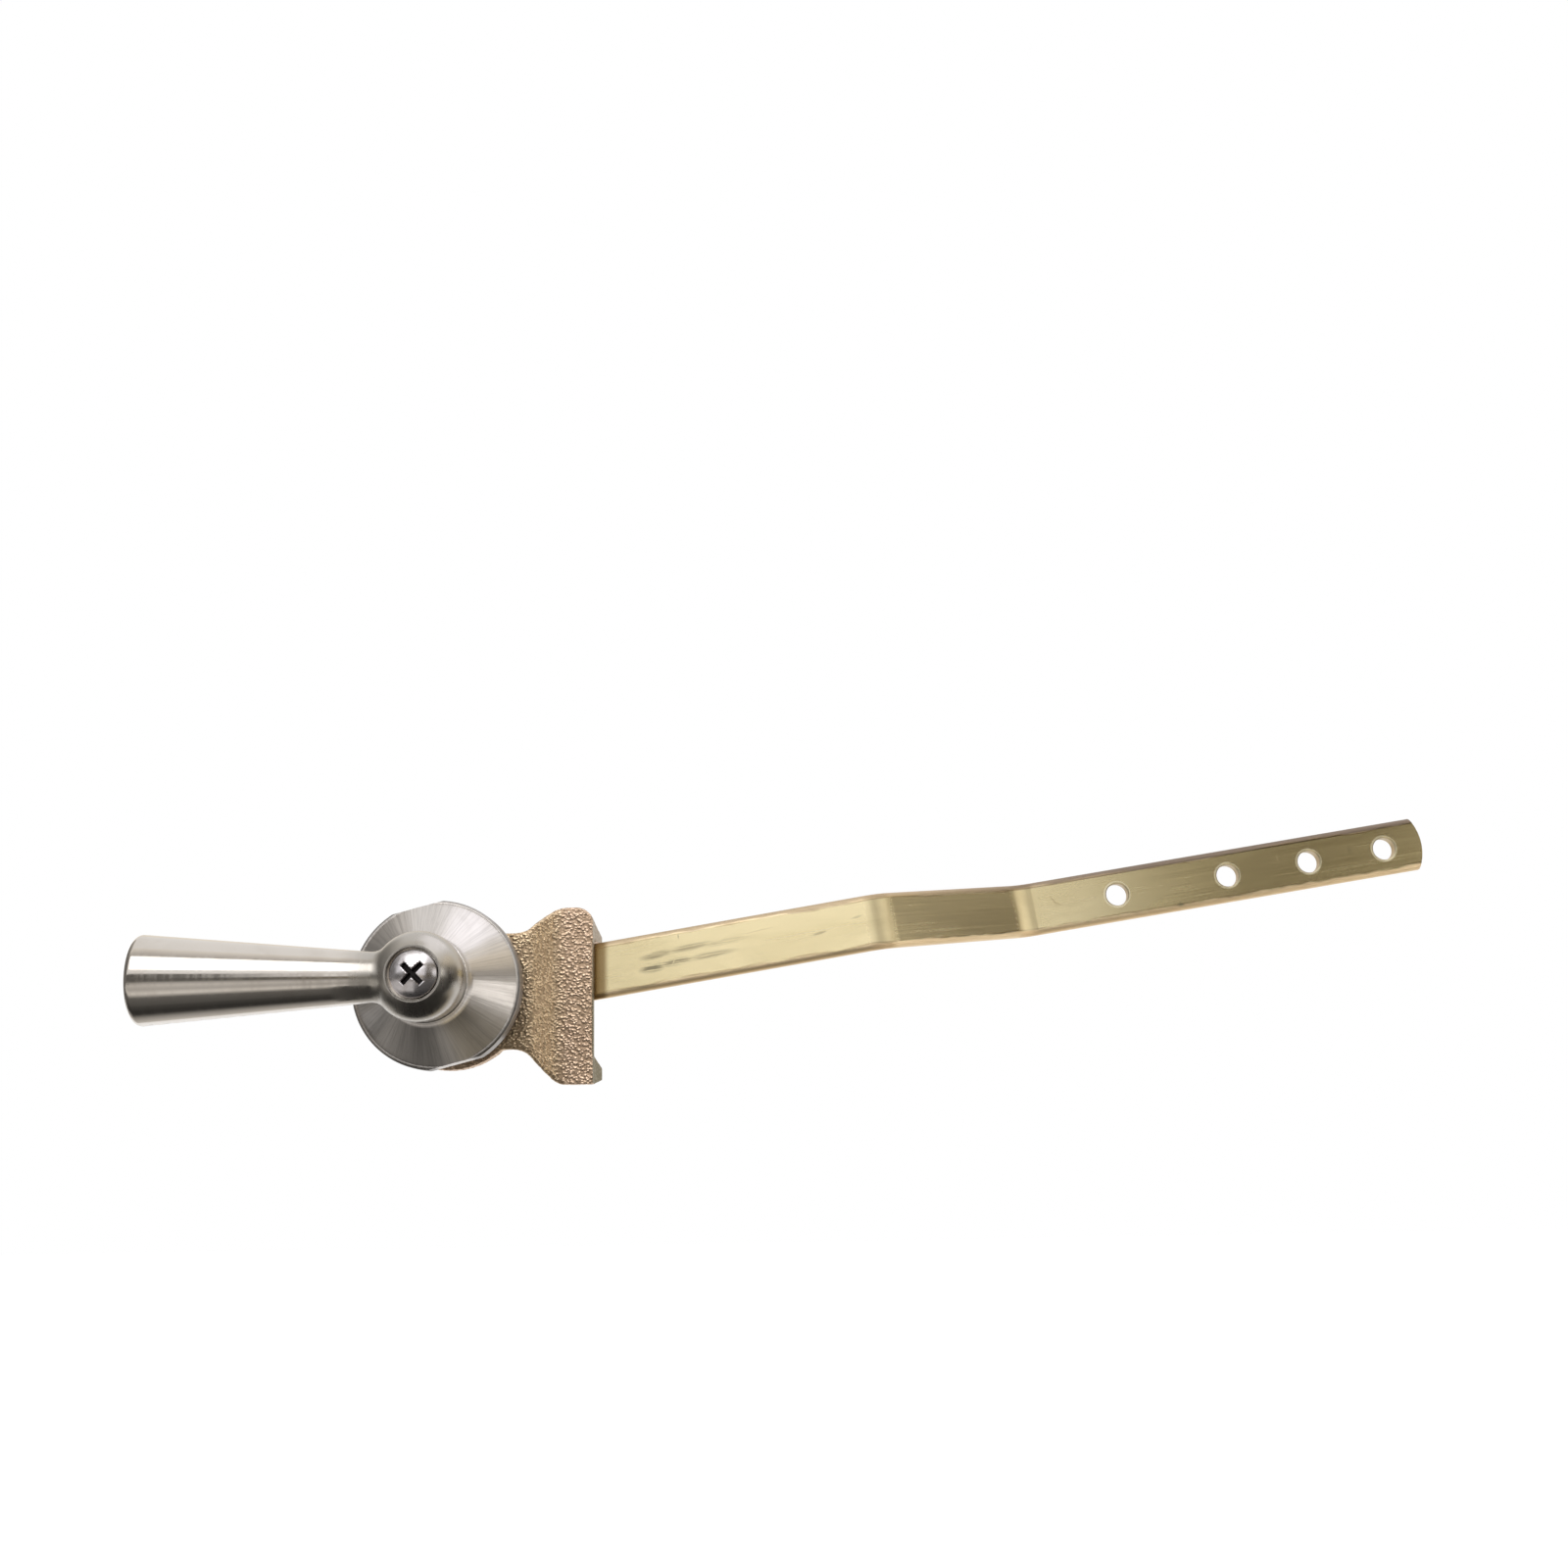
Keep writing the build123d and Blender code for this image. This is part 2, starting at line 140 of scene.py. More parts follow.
def objectPoint(tree):
    return addNode(tree, "ShaderNodeTexCoord").outputs["Object"]


def scaled(tree, vector, scale, location=(0, 0, 0), rotation=(0, 0, 0)):
    # a Mapping node that scales, turns and moves a pattern
    inputs = {"Vector": vector, "Location": location, "Rotation": rotation, "Scale": scale}
    return addNode(tree, "ShaderNodeMapping", inputs, vector_type="POINT").outputs[0]


def noiseValue(tree, vector, scale, detail=3.0, roughness=0.5, distortion=0.0):
    inputs = {"Vector": vector, "Scale": scale, "Detail": detail, "Roughness": roughness,
              "Distortion": distortion}
    return addNode(tree, "ShaderNodeTexNoise", inputs).outputs[0]


def bumpNormal(tree, height, distance=1.0):
    inputs = {"Height": height, "Distance": distance, "Strength": 1.0}
    return addNode(tree, "ShaderNodeBump", inputs).outputs[0]


# mesh helpers

weldReach = 2.0e-6


def newPiece(name, body):
    mesh = bpy.data.meshes.new(name)
    body.to_mesh(mesh)
    body.free()
    stored = mesh.attributes.get("custom_normal")
    if stored is not None:   # a copy's stored normals no longer fit its shape
        mesh.attributes.remove(stored)
    piece = bpy.data.objects.new(name, mesh)
    bpy.context.scene.collection.objects.link(piece)
    return piece


def smoothShade(piece, sharpest):
    # smooth, apart from edges sharper than an angle in degrees
    piece.data.polygons.foreach_set("use_smooth", [True] * len(piece.data.polygons))
    piece.data.set_sharp_from_angle(angle=math.radians(sharpest))


def cadCopy(node):
    # a node's loose triangles, joined up
    body = bmesh.new()
    body.from_mesh(cad[node].data)
    bmesh.ops.remove_doubles(body, verts=body.verts, dist=weldReach)
    return body


def dress(node, material):
    cad[node].data.materials.clear()
    cad[node].data.materials.append(material)


def reachOf(point):
    # distance from the pivot's axis
    return math.hypot(point.x, point.z)


def setReach(vert, reach):
    share = reach / reachOf(vert.co)
    vert.co.x *= share
    vert.co.z *= share


# screw threads, wound round the pivot

threadLead = 1.01   # how many pitches before its start a thread begins, to be cut off there
# one pitch of a thread: root 0 or crest 1, and the share of the pitch
threadOutline = ((0, 0.0), (0, 0.12), (1, 0.44), (1, 0.56), (0, 0.88), (0, 1.0))
threadTouch = 1.0e-6
cutTouch = 1.0e-7


def turnDown(body, thread):
    # a round part of a copy, turned down to its thread's core
    low, high = thread["turned"]
    for v in body.verts:
        if low < v.co.y < high and thread["core"] < reachOf(v.co) < thread["crest"] + thread["slack"]:
            setReach(v, thread["core"])


def threadSleeve(name, thread):
    # the outline wound up, cut square at both ends and closed over a plain bore
    body = bmesh.new()
    pitch, steps = thread["pitch"], thread["steps"]
    radii = (thread["root"], thread["crest"])
    first = thread["start"] - threadLead * pitch
    turns = math.ceil((thread["end"] - first) / pitch) + 1
    corners = [body.verts.new((radii[level], first + share * pitch, 0)) for level, share in threadOutline]
    edges = [body.edges.new(pair) for pair in zip(corners, corners[1:])]
    bmesh.ops.spin(body, geom=corners + edges, cent=(0, 0, 0), axis=(0, 1, 0), dvec=(0, pitch / steps, 0),
                   angle=2 * math.pi * turns, steps=steps * turns, use_merge=False)
    bmesh.ops.remove_doubles(body, verts=body.verts, dist=threadTouch)
    for place, side in ((thread["start"], -1), (thread["end"], 1)):
        bmesh.ops.bisect_plane(body, geom=body.verts[:] + body.edges[:] + body.faces[:], dist=cutTouch,
                               plane_co=(0, place, 0), plane_no=(0, side, 0), clear_outer=True)
    for v in body.verts:   # the chamfer at the end takes the crests off
        limit = thread["root"] + max(thread["end"] - v.co.y, 0.0)
        if thread["chamfered"] and reachOf(v.co) > limit:
            setReach(v, limit)
    rings = [[e for e in body.edges if e.is_boundary and abs(e.verts[0].co.y - place) < threadTouch]
             for place in (thread["start"], thread["end"])]
    inner = []
    for ring in rings:
        made = bmesh.ops.extrude_edge_only(body, edges=ring)["geom"]
        for v in (g for g in made if isinstance(g, bmesh.types.BMVert)):
            setReach(v, thread["bore"])
        inner += [g for g in made if isinstance(g, bmesh.types.BMEdge) and g.is_boundary]
    bmesh.ops.bridge_loops(body, edges=inner)
    bmesh.ops.recalc_face_normals(body, faces=body.faces)
    print(name, "open edges:", sum(1 for e in body.edges if not e.is_manifold))
    piece = newPiece(name, body)
    smoothShade(piece, sharpest=25)
    return piece


# shared shader groups

patchNoise = {"detail": 5.0, "roughness": 0.62, "distortion": 0.6}
lineNoise = {"detail": 4.0, "roughness": 0.7}
bandNoise = {"detail": 2.0, "roughness": 0.5}
bandScale = 0.22
noiseSpan = (0.3, 0.7)   # most of a noise's values lie in here


def newGroup(name, inputs, outputs):
    group = bpy.data.node_groups.new(name, "ShaderNodeTree")
    for label, kind, value in inputs:
        socket = group.interface.new_socket(label, in_out="INPUT", socket_type=kind)
        if value is not None:
            socket.default_value = value
    for label, kind in outputs:
        group.interface.new_socket(label, in_out="OUTPUT", socket_type=kind)
    source = addNode(group, "NodeGroupInput")
    sink = addNode(group, "NodeGroupOutput")
    return group, source.outputs, sink.inputs


def buildPatches():
    # cloudy marks: handling smears and tarnish in large soft patches broken up by smaller ones
    group, source, sink = newGroup(
        "tarnishPatches",
        [("Vector", "NodeSocketVector", None), ("Size", "NodeSocketFloat", 60.0),
         ("Cover", "NodeSocketFloat", 0.5), ("Softness", "NodeSocketFloat", 0.15)],
        [("Mask", "NodeSocketFloat")])
    broad = noiseValue(group, source["Vector"], source["Size"], **patchNoise)
    low = minus(group, source["Cover"], source["Softness"])
    high = plus(group, source["Cover"], source["Softness"])
    plug(group, fade(group, broad, low, high), sink["Mask"])
    return group


def buildLines():
    # fine lines left by a tool or a die: the vector is already stretched along the lines
    group, source, sink = newGroup(
        "toolLines",
        [("Vector", "NodeSocketVector", None), ("Fineness", "NodeSocketFloat", 1.0)],
        [("Lines", "NodeSocketFloat"), ("Bands", "NodeSocketFloat")])
    plug(group, noiseValue(group, source["Vector"], source["Fineness"], **lineNoise), sink["Lines"])
    coarse = times(group, source["Fineness"], bandScale)
    plug(group, noiseValue(group, source["Vector"], coarse, **bandNoise), sink["Bands"])
    return group


patchGroup = buildPatches()
lineGroup = buildLines()


def patches(tree, vector, size, cover, softness):
    inputs = {"Vector": vector, "Size": size, "Cover": cover, "Softness": softness}
    return addNode(tree, "ShaderNodeGroup", inputs, node_tree=patchGroup).outputs["Mask"]


def toolLines(tree, vector):
    return addNode(tree, "ShaderNodeGroup", {"Vector": vector}, node_tree=lineGroup).outputs


def radialPoint(tree, point, axis, along, around):
    # a point's direction from the axis, scaled, with its place along the axis, so lines close up round it
    parts = split(tree, point)
    flat = merge(tree, {i: parts[i] for i in range(3) if i != axis})
    turned = vectorMath(tree, "SCALE", {0: vectorMath(tree, "NORMALIZE", {0: flat}), 3: around})
    placed = merge(tree, {axis: times(tree, parts[axis], along)})
    return vectorMath(tree, "ADD", {0: turned, 1: placed})


def turnedMaterial(name, finish):
    # lathe lines round the pivot, under cloudy stains
    material, tree, shader = newMaterial(name, metallic=1.0)
    point = objectPoint(tree)
    lines = toolLines(tree, radialPoint(tree, point, 1, finish["along"], finish["around"]))["Lines"]
    stain = patches(tree, point, *finish["stains"])
    colour = mixColour(tree, stain, rgb(finish["colour"]), rgb(finish["stain"]))
    plug(tree, colour, shader.inputs["Base Color"])
    plug(tree, fade(tree, lines, *noiseSpan, *finish["roughness"]), shader.inputs["Roughness"])
    plug(tree, bumpNormal(tree, lines, finish["lineDepth"]), shader.inputs["Normal"])
    return material


# satin nickel plate, turned about an axis: 0 for X, 1 for Y

gripFinish = {
    "colour": (0.66, 0.612, 0.56),
    "smear": (0.60, 0.55, 0.495),
    # the hub end's darker tone: painted shade
    "dull": (0.46, 0.43, 0.39),
    "roughness": 0.135,
    "dullRoughness": 0.28,
    "axis": 0,
    "around": 3.0,
    "along": 5200.0,
    "lineDepth": 1.3e-6,
    "streakDepth": 0.0,
    "streakShade": 0.0,
    "anisotropy": 0.5,
    "hubStart": (-15.0 * mm, -9.0 * mm),
    "screwRim": (5.25 * mm, 5.45 * mm),
}
coneFinish = {
    "colour": (0.67, 0.63, 0.595),
    "smear": (0.60, 0.56, 0.52),
    # darker tone of the brush streaks, and the rim's painted shade
    "dull": (0.30, 0.28, 0.265),
    "roughness": 0.31,
    "dullRoughness": 0.36,
    "axis": 1,
    "around": 40.0,
    "along": 90.0,
    "lineDepth": 1.0e-5,
    "streakDepth": 6.0e-5,
    "streakShade": 0.32,
    "anisotropy": 0.4,
    "shadedRim": (16.75 * mm, 16.95 * mm),
}
nickelWear = {
    "smears": (75.0, 0.56, 0.16),   # patches: size, cover, softness
    "smearRough": 0.03,
    "streakRange": (0.42, 0.66),
    "bandRough": (-0.03, 0.04),
    "highlightTurn": 0.25,
}


def axisReach(tree, point):
    # distance from the pivot's axis
    parts = split(tree, point)
    return lengthOf(tree, merge(tree, {0: parts[0], 2: parts[2]}))


def hubShadeMask(tree, point):
    # the hub end is rougher than the grip and painted darker, as painted shade, apart from its rim round
    # the screw
    hubSide = fade(tree, split(tree, point)[0], *gripFinish["hubStart"])
    return times(tree, hubSide, fade(tree, axisReach(tree, point), *gripFinish["screwRim"]))


def rimShadeMask(tree, point):
    # the escutcheon's rim has no brush lines, is a little rougher, and is painted darker: painted shade
    return fade(tree, axisReach(tree, point), *coneFinish["shadedRim"])


def nickelMaterial(name, finish, centre, dullShadeMask):
    material, tree, shader = newMaterial(name, metallic=1.0)
    point = scaled(tree, objectPoint(tree), (1, 1, 1), location=tuple(-v for v in centre))
    lines = toolLines(tree, radialPoint(tree, point, finish["axis"], finish["along"], finish["around"]))
    smears = patches(tree, point, *nickelWear["smears"])
    streaks = fade(tree, lines["Lines"], *nickelWear["streakRange"], 0.0, finish["streakShade"])
    # the hub's and the rim's painted shade: a darker tone, rougher and without lines
    dull = dullShadeMask(tree, objectPoint(tree))
    colour = mixColour(tree, smears, rgb(finish["colour"]), rgb(finish["smear"]))
    colour = mixColour(tree, streaks, colour, rgb(finish["dull"]))
    plug(tree, mixColour(tree, dull, colour, rgb(finish["dull"])), shader.inputs["Base Color"])
    rough = fade(tree, dull, 0.0, 1.0, finish["roughness"], finish["dullRoughness"])
    bands = fade(tree, lines["Bands"], *noiseSpan, *nickelWear["bandRough"])
    rough = plus(tree, rough, bands)
    rough = plus(tree, rough, times(tree, smears, nickelWear["smearRough"]))
    plug(tree, rough, shader.inputs["Roughness"])
    height = plus(tree, times(tree, lines["Lines"], finish["lineDepth"]),
                  times(tree, lines["Bands"], finish["streakDepth"]))
    plug(tree, bumpNormal(tree, times(tree, height, minus(tree, 1.0, dull))), shader.inputs["Normal"])
    shader.inputs["Anisotropic"].default_value = finish["anisotropy"]
    shader.inputs["Anisotropic Rotation"].default_value = nickelWear["highlightTurn"]
    tangent = addNode(tree, "ShaderNodeTangent", direction_type="RADIAL", axis="XYZ"[finish["axis"]])
    plug(tree, tangent.outputs[0], shader.inputs["Tangent"])
    return material


gripLow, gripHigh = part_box("handle")
gripAxis = ((gripLow.x + gripHigh.x) / 2, (gripLow.y + gripHigh.y) / 2, 0.0)
# a copy, since the normals stored with the node fail in the middle of the grip's end
handle = newPiece("leverHandle", cadCopy("handle"))
smoothShade(handle, sharpest=30)
handle.data.materials.append(nickelMaterial("satinNickelHandle", gripFinish, gripAxis, hubShadeMask))
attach(handle, "lever")
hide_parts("handle")
dress("escutcheon", nickelMaterial("satinNickelCone", coneFinish, (0, 0, 0), rimShadeMask))
print("nickel done")


# polished screw head

screwFinish = {
    "colour": (0.66, 0.63, 0.645),
    "mark": (0.54, 0.50, 0.49),
    "marks": (420.0, 0.55, 0.2),
    # painted shade: the tone down in the cross recess and round the head's side
    "recess": (0.03, 0.027, 0.027),
    "sunk": (0.45 * mm, 1.20 * mm),
    "roughness": (0.19, 0.27),
    "recessRough": 0.3,
    "pits": 900.0,
    "pitRange": (0.3, 0.8),
    "pitDepth": 1.0e-6,
    "domeRadius": 8.97 * mm,
    "recessReach": 3.0 * mm,
    "rimSharp": 0.6,
    "rimDepth": 0.12 * mm,
    "rimRound": 0.26 * mm,
}
springSteel = {
    "colour": (0.34, 0.33, 0.33),
    "stain": (0.20, 0.19, 0.19),
    "stains": (300.0, 0.5, 0.2),
    "along": 900.0,
    "around": 4.0,
    "roughness": (0.32, 0.46),
    "lineDepth": 6.0e-6,
}
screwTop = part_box("handle_screw")[0].y


def screwMaterial():
    material, tree, shader = newMaterial("polishedScrew", metallic=1.0)
    point = objectPoint(tree)
    pits = noiseValue(tree, point, screwFinish["pits"], detail=4.0)
    marks = patches(tree, point, *screwFinish["marks"])
    # how far a point lies below the dome: painted shade down in the cross recess and round the head's side
    parts = split(tree, point)
    offAxis = plus(tree, mathNode(tree, "POWER", parts[0], 2.0), mathNode(tree, "POWER", parts[2], 2.0))
    fall = mathNode(tree, "DIVIDE", offAxis, 2 * screwFinish["domeRadius"])
    sunk = fade(tree, minus(tree, minus(tree, parts[1], screwTop), fall), *screwFinish["sunk"])
    colour = mixColour(tree, marks, rgb(screwFinish["colour"]), rgb(screwFinish["mark"]))
    plug(tree, mixColour(tree, sunk, colour, rgb(screwFinish["recess"])), shader.inputs["Base Color"])
    gloss = fade(tree, pits, *screwFinish["pitRange"], *screwFinish["roughness"])
    plug(tree, plus(tree, gloss, times(tree, sunk, screwFinish["recessRough"])), shader.inputs["Roughness"])
    plug(tree, bumpNormal(tree, pits, screwFinish["pitDepth"]), shader.inputs["Normal"])
    return material


def belowDome(point):
    return point.y - screwTop - (point.x ** 2 + point.z ** 2) / (2 * screwFinish["domeRadius"])


def screwPiece():
    # the head as machined, with the rim of its cross recess rounded by the punch
    body = cadCopy("handle_screw")
    rim = []
    for edge in body.edges:
        sharp = len(edge.link_faces) == 2 and edge.calc_face_angle() > screwFinish["rimSharp"]
        inside = max(reachOf(v.co) for v in edge.verts) < screwFinish["recessReach"]
        if sharp and inside and max(belowDome(v.co) for v in edge.verts) < screwFinish["rimDepth"]:
            rim.append(edge)
    bmesh.ops.bevel(body, geom=rim, offset=screwFinish["rimRound"], offset_type="OFFSET", segments=2,
                    profile=0.5, affect="EDGES", material=-1)
    bmesh.ops.recalc_face_normals(body, faces=body.faces)
    print("screw recess rim:", len(rim), "edges rounded")
    piece = newPiece("screwHead", body)
    smoothShade(piece, sharpest=12)
    return piece


screwHead = screwPiece()
screwHead.data.materials.append(screwMaterial())
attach(screwHead, "lever")
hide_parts("handle_screw")
spring = turnedMaterial("springSteel", springSteel)
for washer in ("screw_lock_washer", "arm_lock_washer"):
    dress(washer, spring)
print("screw and washers done")


# arm: drawn brass strip, in its own frame with X along it and Z across it

armFinish = {
    "lift": math.radians(8.9),
    "colour": (0.86, 0.74, 0.46),
    "dull": (0.70, 0.59, 0.34),
    "dullShare": 0.7,
    "tarnish": (120.0, 0.56, 0.2),
    "tarnishStretch": (0.3, 1, 1),
    "roughness": (0.19, 0.26),
    "tarnishRough": 0.05,
    "ringRough": 0.10,
    "edgeRough": 0.30,
    "bendRough": 0.17,
    "anisotropy": 0.35,
    "frontFacing": (-0.4, -0.1),
    "drawnLines": (22, 0, 2400),
    "drawnRange": (0.25, 0.75),
    "drawnDepth": 0.45e-6,
    "swells": (40, 0, 70),
    "swellDepth": 2.5e-5,
    "scratchDepth": 1.5e-5,
    # the strip's rounded edges: limits are counted from where the flat ends
    "flatHalf": 4.75 * mm,
    "wavers": (110, 0, 60),
    "waver": 0.22 * mm,
    "lineIn": -0.3 * mm,
    "lineOut": 0.4 * mm,
    "lineBreaks": (90, 0, 30),
    "breakShift": (0.3, 0, 0),
    "breakRange": (0.38, 0.58),
    "band": (-0.1 * mm, 0.5 * mm),
    "crankShadeBand": (-0.2 * mm, 0.1 * mm),
    "crankShadeReach": (88.0 * mm, 155.0 * mm),
    # places along the arm, and round its holes
    # where the stop bar's painted shadow lies along the arm
    "shadowLead": 27.5 * mm,
    "shadowStart": 29.5 * mm,
    "shadowFade": 31.2 * mm,
    "shadowEnd": 32.8 * mm,
    "shadowLeft": 0.85,
    "bends": (92.3 * mm, 126.5 * mm),
    "bendSpan": (1.08 * mm, 3.6 * mm),
    "tail": (135.0 * mm, 168.0 * mm),
    "tailShare": 0.38,
    "holeRing": (2.85 * mm, 3.25 * mm),
    "holeWallShade": (2.58 * mm, 2.66 * mm),
    # what lies on the bare strip, in the order it is laid on: tone and share
    "layers": {
        "tail": ((0.58, 0.455, 0.19), 1.0),
        # painted shading of the rounded edges, painted shade along the top edge, and more of it from the
        # first bend into the tail
        "paintedEdgeBand": ((0.82, 0.63, 0.42), 0.7),
        "edgeTopShade": ((0.48, 0.375, 0.25), 0.85),
        "edgeCrankShade": ((0.17, 0.13, 0.105), 0.85),
        "edgeLine": ((0.38, 0.26, 0.14), 0.6),
        "smudge": ((0.27, 0.235, 0.15), 1.0),
        "darkScratch": ((0.38, 0.26, 0.14), 1.0),
        "lightScratch": ((0.92, 0.80, 0.50), 1.0),
        # painted shadow of the stop bar on the arm
        "barShadow": ((0.21, 0.12, 0.035), 0.95),
        "holeRim": ((0.98, 0.90, 0.66), 0.8),
        # painted shade on the chain holes' walls
        "holeWallShade": ((0.34, 0.235, 0.105), 0.85),
    },
    # marks on its front, in mm: reach along it, place across it, half length, half width,
    # then the turn in degrees and the strength
    "smudges": [
        (42.2, -1.5, 3.6, 1.35, 2.0, 1.0), (47.5, -1.1, 5.5, 1.0, 2.0, 0.8),
        (55.0, -0.9, 7.5, 0.95, 1.0, 0.6), (43.5, 1.1, 4.8, 1.05, 4.0, 0.75),
        (51.0, 1.5, 7.0, 0.95, 2.0, 0.6), (58.0, 1.4, 7.0, 0.8, 1.0, 0.4),
        (79.0, -0.4, 2.2, 0.45, 8.0, 0.5), (87.5, 1.6, 1.6, 0.3, 4.0, 0.5),
        (161.8, -4.7, 1.0, 0.55, 0.0, 0.9), (203.0, 0.9, 0.5, 1.6, 12.0, 0.3),
    ],
    "smudgeHairs": (110, 0, 4200),
    "hairRange": (0.36, 0.54),
    "darkScratches": [
        (48.8, 4.2, 0.75, 0.10, 85.0, 0.7), (133.2, 1.0, 1.9, 0.12, -62.0, 0.6),
        (134.2, 0.1, 1.2, 0.10, -40.0, 0.5), (186.0, 1.8, 1.6, 0.10, 95.0, 0.4),
        (170.0, -3.0, 5.0, 0.09, 4.0, 0.35), (112.0, -2.6, 4.0, 0.09, -3.0, 0.3),
        (66.0, 2.4, 6.0, 0.08, 3.0, 0.3),
    ],
    "lightScratches": [(47.0, -0.9, 1.3, 0.13, 58.0, 0.7)],
    "markCore": 0.25,   # share of a mark that is at full strength
}


def markMask(tree, plan, marks):
    # oval patches with soft edges
    masks = []
    for reach, across, halfLength, halfWidth, turn, strength in marks:
        inputs = {"Vector": plan, "Location": (reach * mm, across * mm, 0),
                  "Rotation": (0, 0, math.radians(turn)), "Scale": (halfLength * mm, halfWidth * mm, 1)}
        local = addNode(tree, "ShaderNodeMapping", inputs, vector_type="TEXTURE").outputs[0]
        masks.append(fade(tree, lengthOf(tree, local), armFinish["markCore"], 1.0, strength, 0.0))
    return joined(tree, masks)


def holeMasks(tree, plan):
    # a lighter ring round each chain hole, and painted shade on the hole's wall
    rings = []
    walls = []
    for mount in frame["record"]["mounts"]:
        if mount["kind"] != "bore":
            continue
        x, _, z = mount["pos_m"]
        reach = x * math.cos(armFinish["lift"]) + z * math.sin(armFinish["lift"])
        far = lengthOf(tree, vectorMath(tree, "SUBTRACT", {0: plan, 1: (reach, 0, 0)}))
        rings.append(fade(tree, far, *armFinish["holeRing"], 1.0, 0.0))
        walls.append(fade(tree, far, *armFinish["holeWallShade"], 1.0, 0.0))
    return joined(tree, rings), joined(tree, walls)


def edgeMasks(tree, point, parts):
    # a broken brown line where the flat ends, then a pinkish band that falls away: painted shading of the
    # rounded edges, with painted shade along the top
    flat = armFinish["flatHalf"]
    band = [flat + limit for limit in armFinish["band"]]
    crankShadeBand = [flat + limit for limit in armFinish["crankShadeBand"]]
    waver = fade(tree, noiseValue(tree, scaled(tree, point, armFinish["wavers"]), 1.0), *noiseSpan,
                 -armFinish["waver"], armFinish["waver"])
    across = plus(tree, mathNode(tree, "ABSOLUTE", parts[2]), waver)
    line = times(tree, fade(tree, across, flat + armFinish["lineIn"], flat),
                 fade(tree, across, flat, flat + armFinish["lineOut"], 1.0, 0.0))
    breaks = scaled(tree, point, armFinish["lineBreaks"], location=armFinish["breakShift"])
    broken = fade(tree, noiseValue(tree, breaks, 1.0), *armFinish["breakRange"])
    return {
        "paintedEdgeBand": fade(tree, across, *band),
        "edgeTopShade": fade(tree, plus(tree, parts[2], waver), *band),
        "edgeCrankShade": times(tree, fade(tree, parts[2], *crankShadeBand),
                             fade(tree, parts[0], *armFinish["crankShadeReach"])),
        "edgeLine": times(tree, line, broken),
    }


def barShadowMask(tree):
    # painted shadow of the stop bar, brown, on the arm where it comes out from behind the bar
    side = split(tree, objectPoint(tree))[0]
    start, deepest, end = armFinish["shadowStart"], armFinish["shadowFade"], armFinish["shadowEnd"]
    barShadow = times(tree, fade(tree, side, start, deepest, 1.0, armFinish["shadowLeft"]),
                fade(tree, side, deepest, end, 1.0, 0.0))
    return times(tree, barShadow, fade(tree, side, armFinish["shadowLead"], start))


def bendMask(tree, along):
    # the bends are duller than the flats, where the metal stretched
    return joined(tree, [fade(tree, mathNode(tree, "ABSOLUTE", minus(tree, along, place)),
                              *armFinish["bendSpan"], 1.0, 0.0) for place in armFinish["bends"]])


def armMaterial():
    material, tree, shader = newMaterial("drawnBrass", metallic=1.0)
    point = scaled(tree, objectPoint(tree), (1, 1, 1), rotation=(0, armFinish["lift"], 0))
    parts = split(tree, point)
    plan = merge(tree, {0: parts[0], 1: parts[2]})
    facing = addNode(tree, "ShaderNodeNewGeometry").outputs["True Normal"]
    front = fade(tree, split(tree, facing)[1], *armFinish["frontFacing"], 1.0, 0.0)
    drawn = toolLines(tree, scaled(tree, point, armFinish["drawnLines"]))["Lines"]
    tarnish = patches(tree, scaled(tree, point, armFinish["tarnishStretch"]), *armFinish["tarnish"])
    hairs = noiseValue(tree, scaled(tree, point, armFinish["smudgeHairs"]), 1.0, roughness=0.7)
    smudge = times(tree, markMask(tree, plan, armFinish["smudges"]),
                   fade(tree, hairs, *armFinish["hairRange"]))
    dark = markMask(tree, plan, armFinish["darkScratches"])
    light = markMask(tree, plan, armFinish["lightScratches"])
    masks = edgeMasks(tree, point, parts)
    masks["tail"] = fade(tree, parts[0], *armFinish["tail"], 0.0, armFinish["tailShare"])
    marks = {"smudge": smudge, "darkScratch": dark, "lightScratch": light, "barShadow": barShadowMask(tree)}
    for name, mark in marks.items():
        masks[name] = times(tree, mark, front)
    masks["holeRim"], masks["holeWallShade"] = holeMasks(tree, plan)
    colour = mixColour(tree, times(tree, tarnish, armFinish["dullShare"]), rgb(armFinish["colour"]),
                       rgb(armFinish["dull"]))
    for name, (tone, share) in armFinish["layers"].items():
        colour = mixColour(tree, times(tree, masks[name], share), colour, rgb(tone))
    plug(tree, colour, shader.inputs["Base Color"])
    rough = fade(tree, drawn, *armFinish["drawnRange"], *armFinish["roughness"])
    rougher = {"tarnishRough": tarnish, "ringRough": masks["holeRim"], "edgeRough": masks["paintedEdgeBand"],
               "bendRough": bendMask(tree, parts[0])}
    for name, mask in rougher.items():
        rough = plus(tree, rough, times(tree, mask, armFinish[name]))
    plug(tree, rough, shader.inputs["Roughness"])
    swell = noiseValue(tree, scaled(tree, point, armFinish["swells"]), 1.0, detail=0.0)
    height = plus(tree, times(tree, drawn, armFinish["drawnDepth"]),
                  times(tree, swell, armFinish["swellDepth"]))
    height = minus(tree, height, times(tree, joined(tree, [dark, light]), armFinish["scratchDepth"]))
    plug(tree, bumpNormal(tree, height), shader.inputs["Normal"])
    # the drawing lines run along the strip, so its highlights spread across it
    shader.inputs["Anisotropic"].default_value = armFinish["anisotropy"]
    crossways = merge(tree, {0: -math.sin(armFinish["lift"]), 2: math.cos(armFinish["lift"])})
    turned = addNode(tree, "ShaderNodeVectorTransform", {0: crossways}, vector_type="VECTOR",
                     convert_from="OBJECT", convert_to="WORLD")
    plug(tree, turned.outputs[0], shader.inputs["Tangent"])
    return material


# turned brass: spindle with its threaded stud, nut and washer

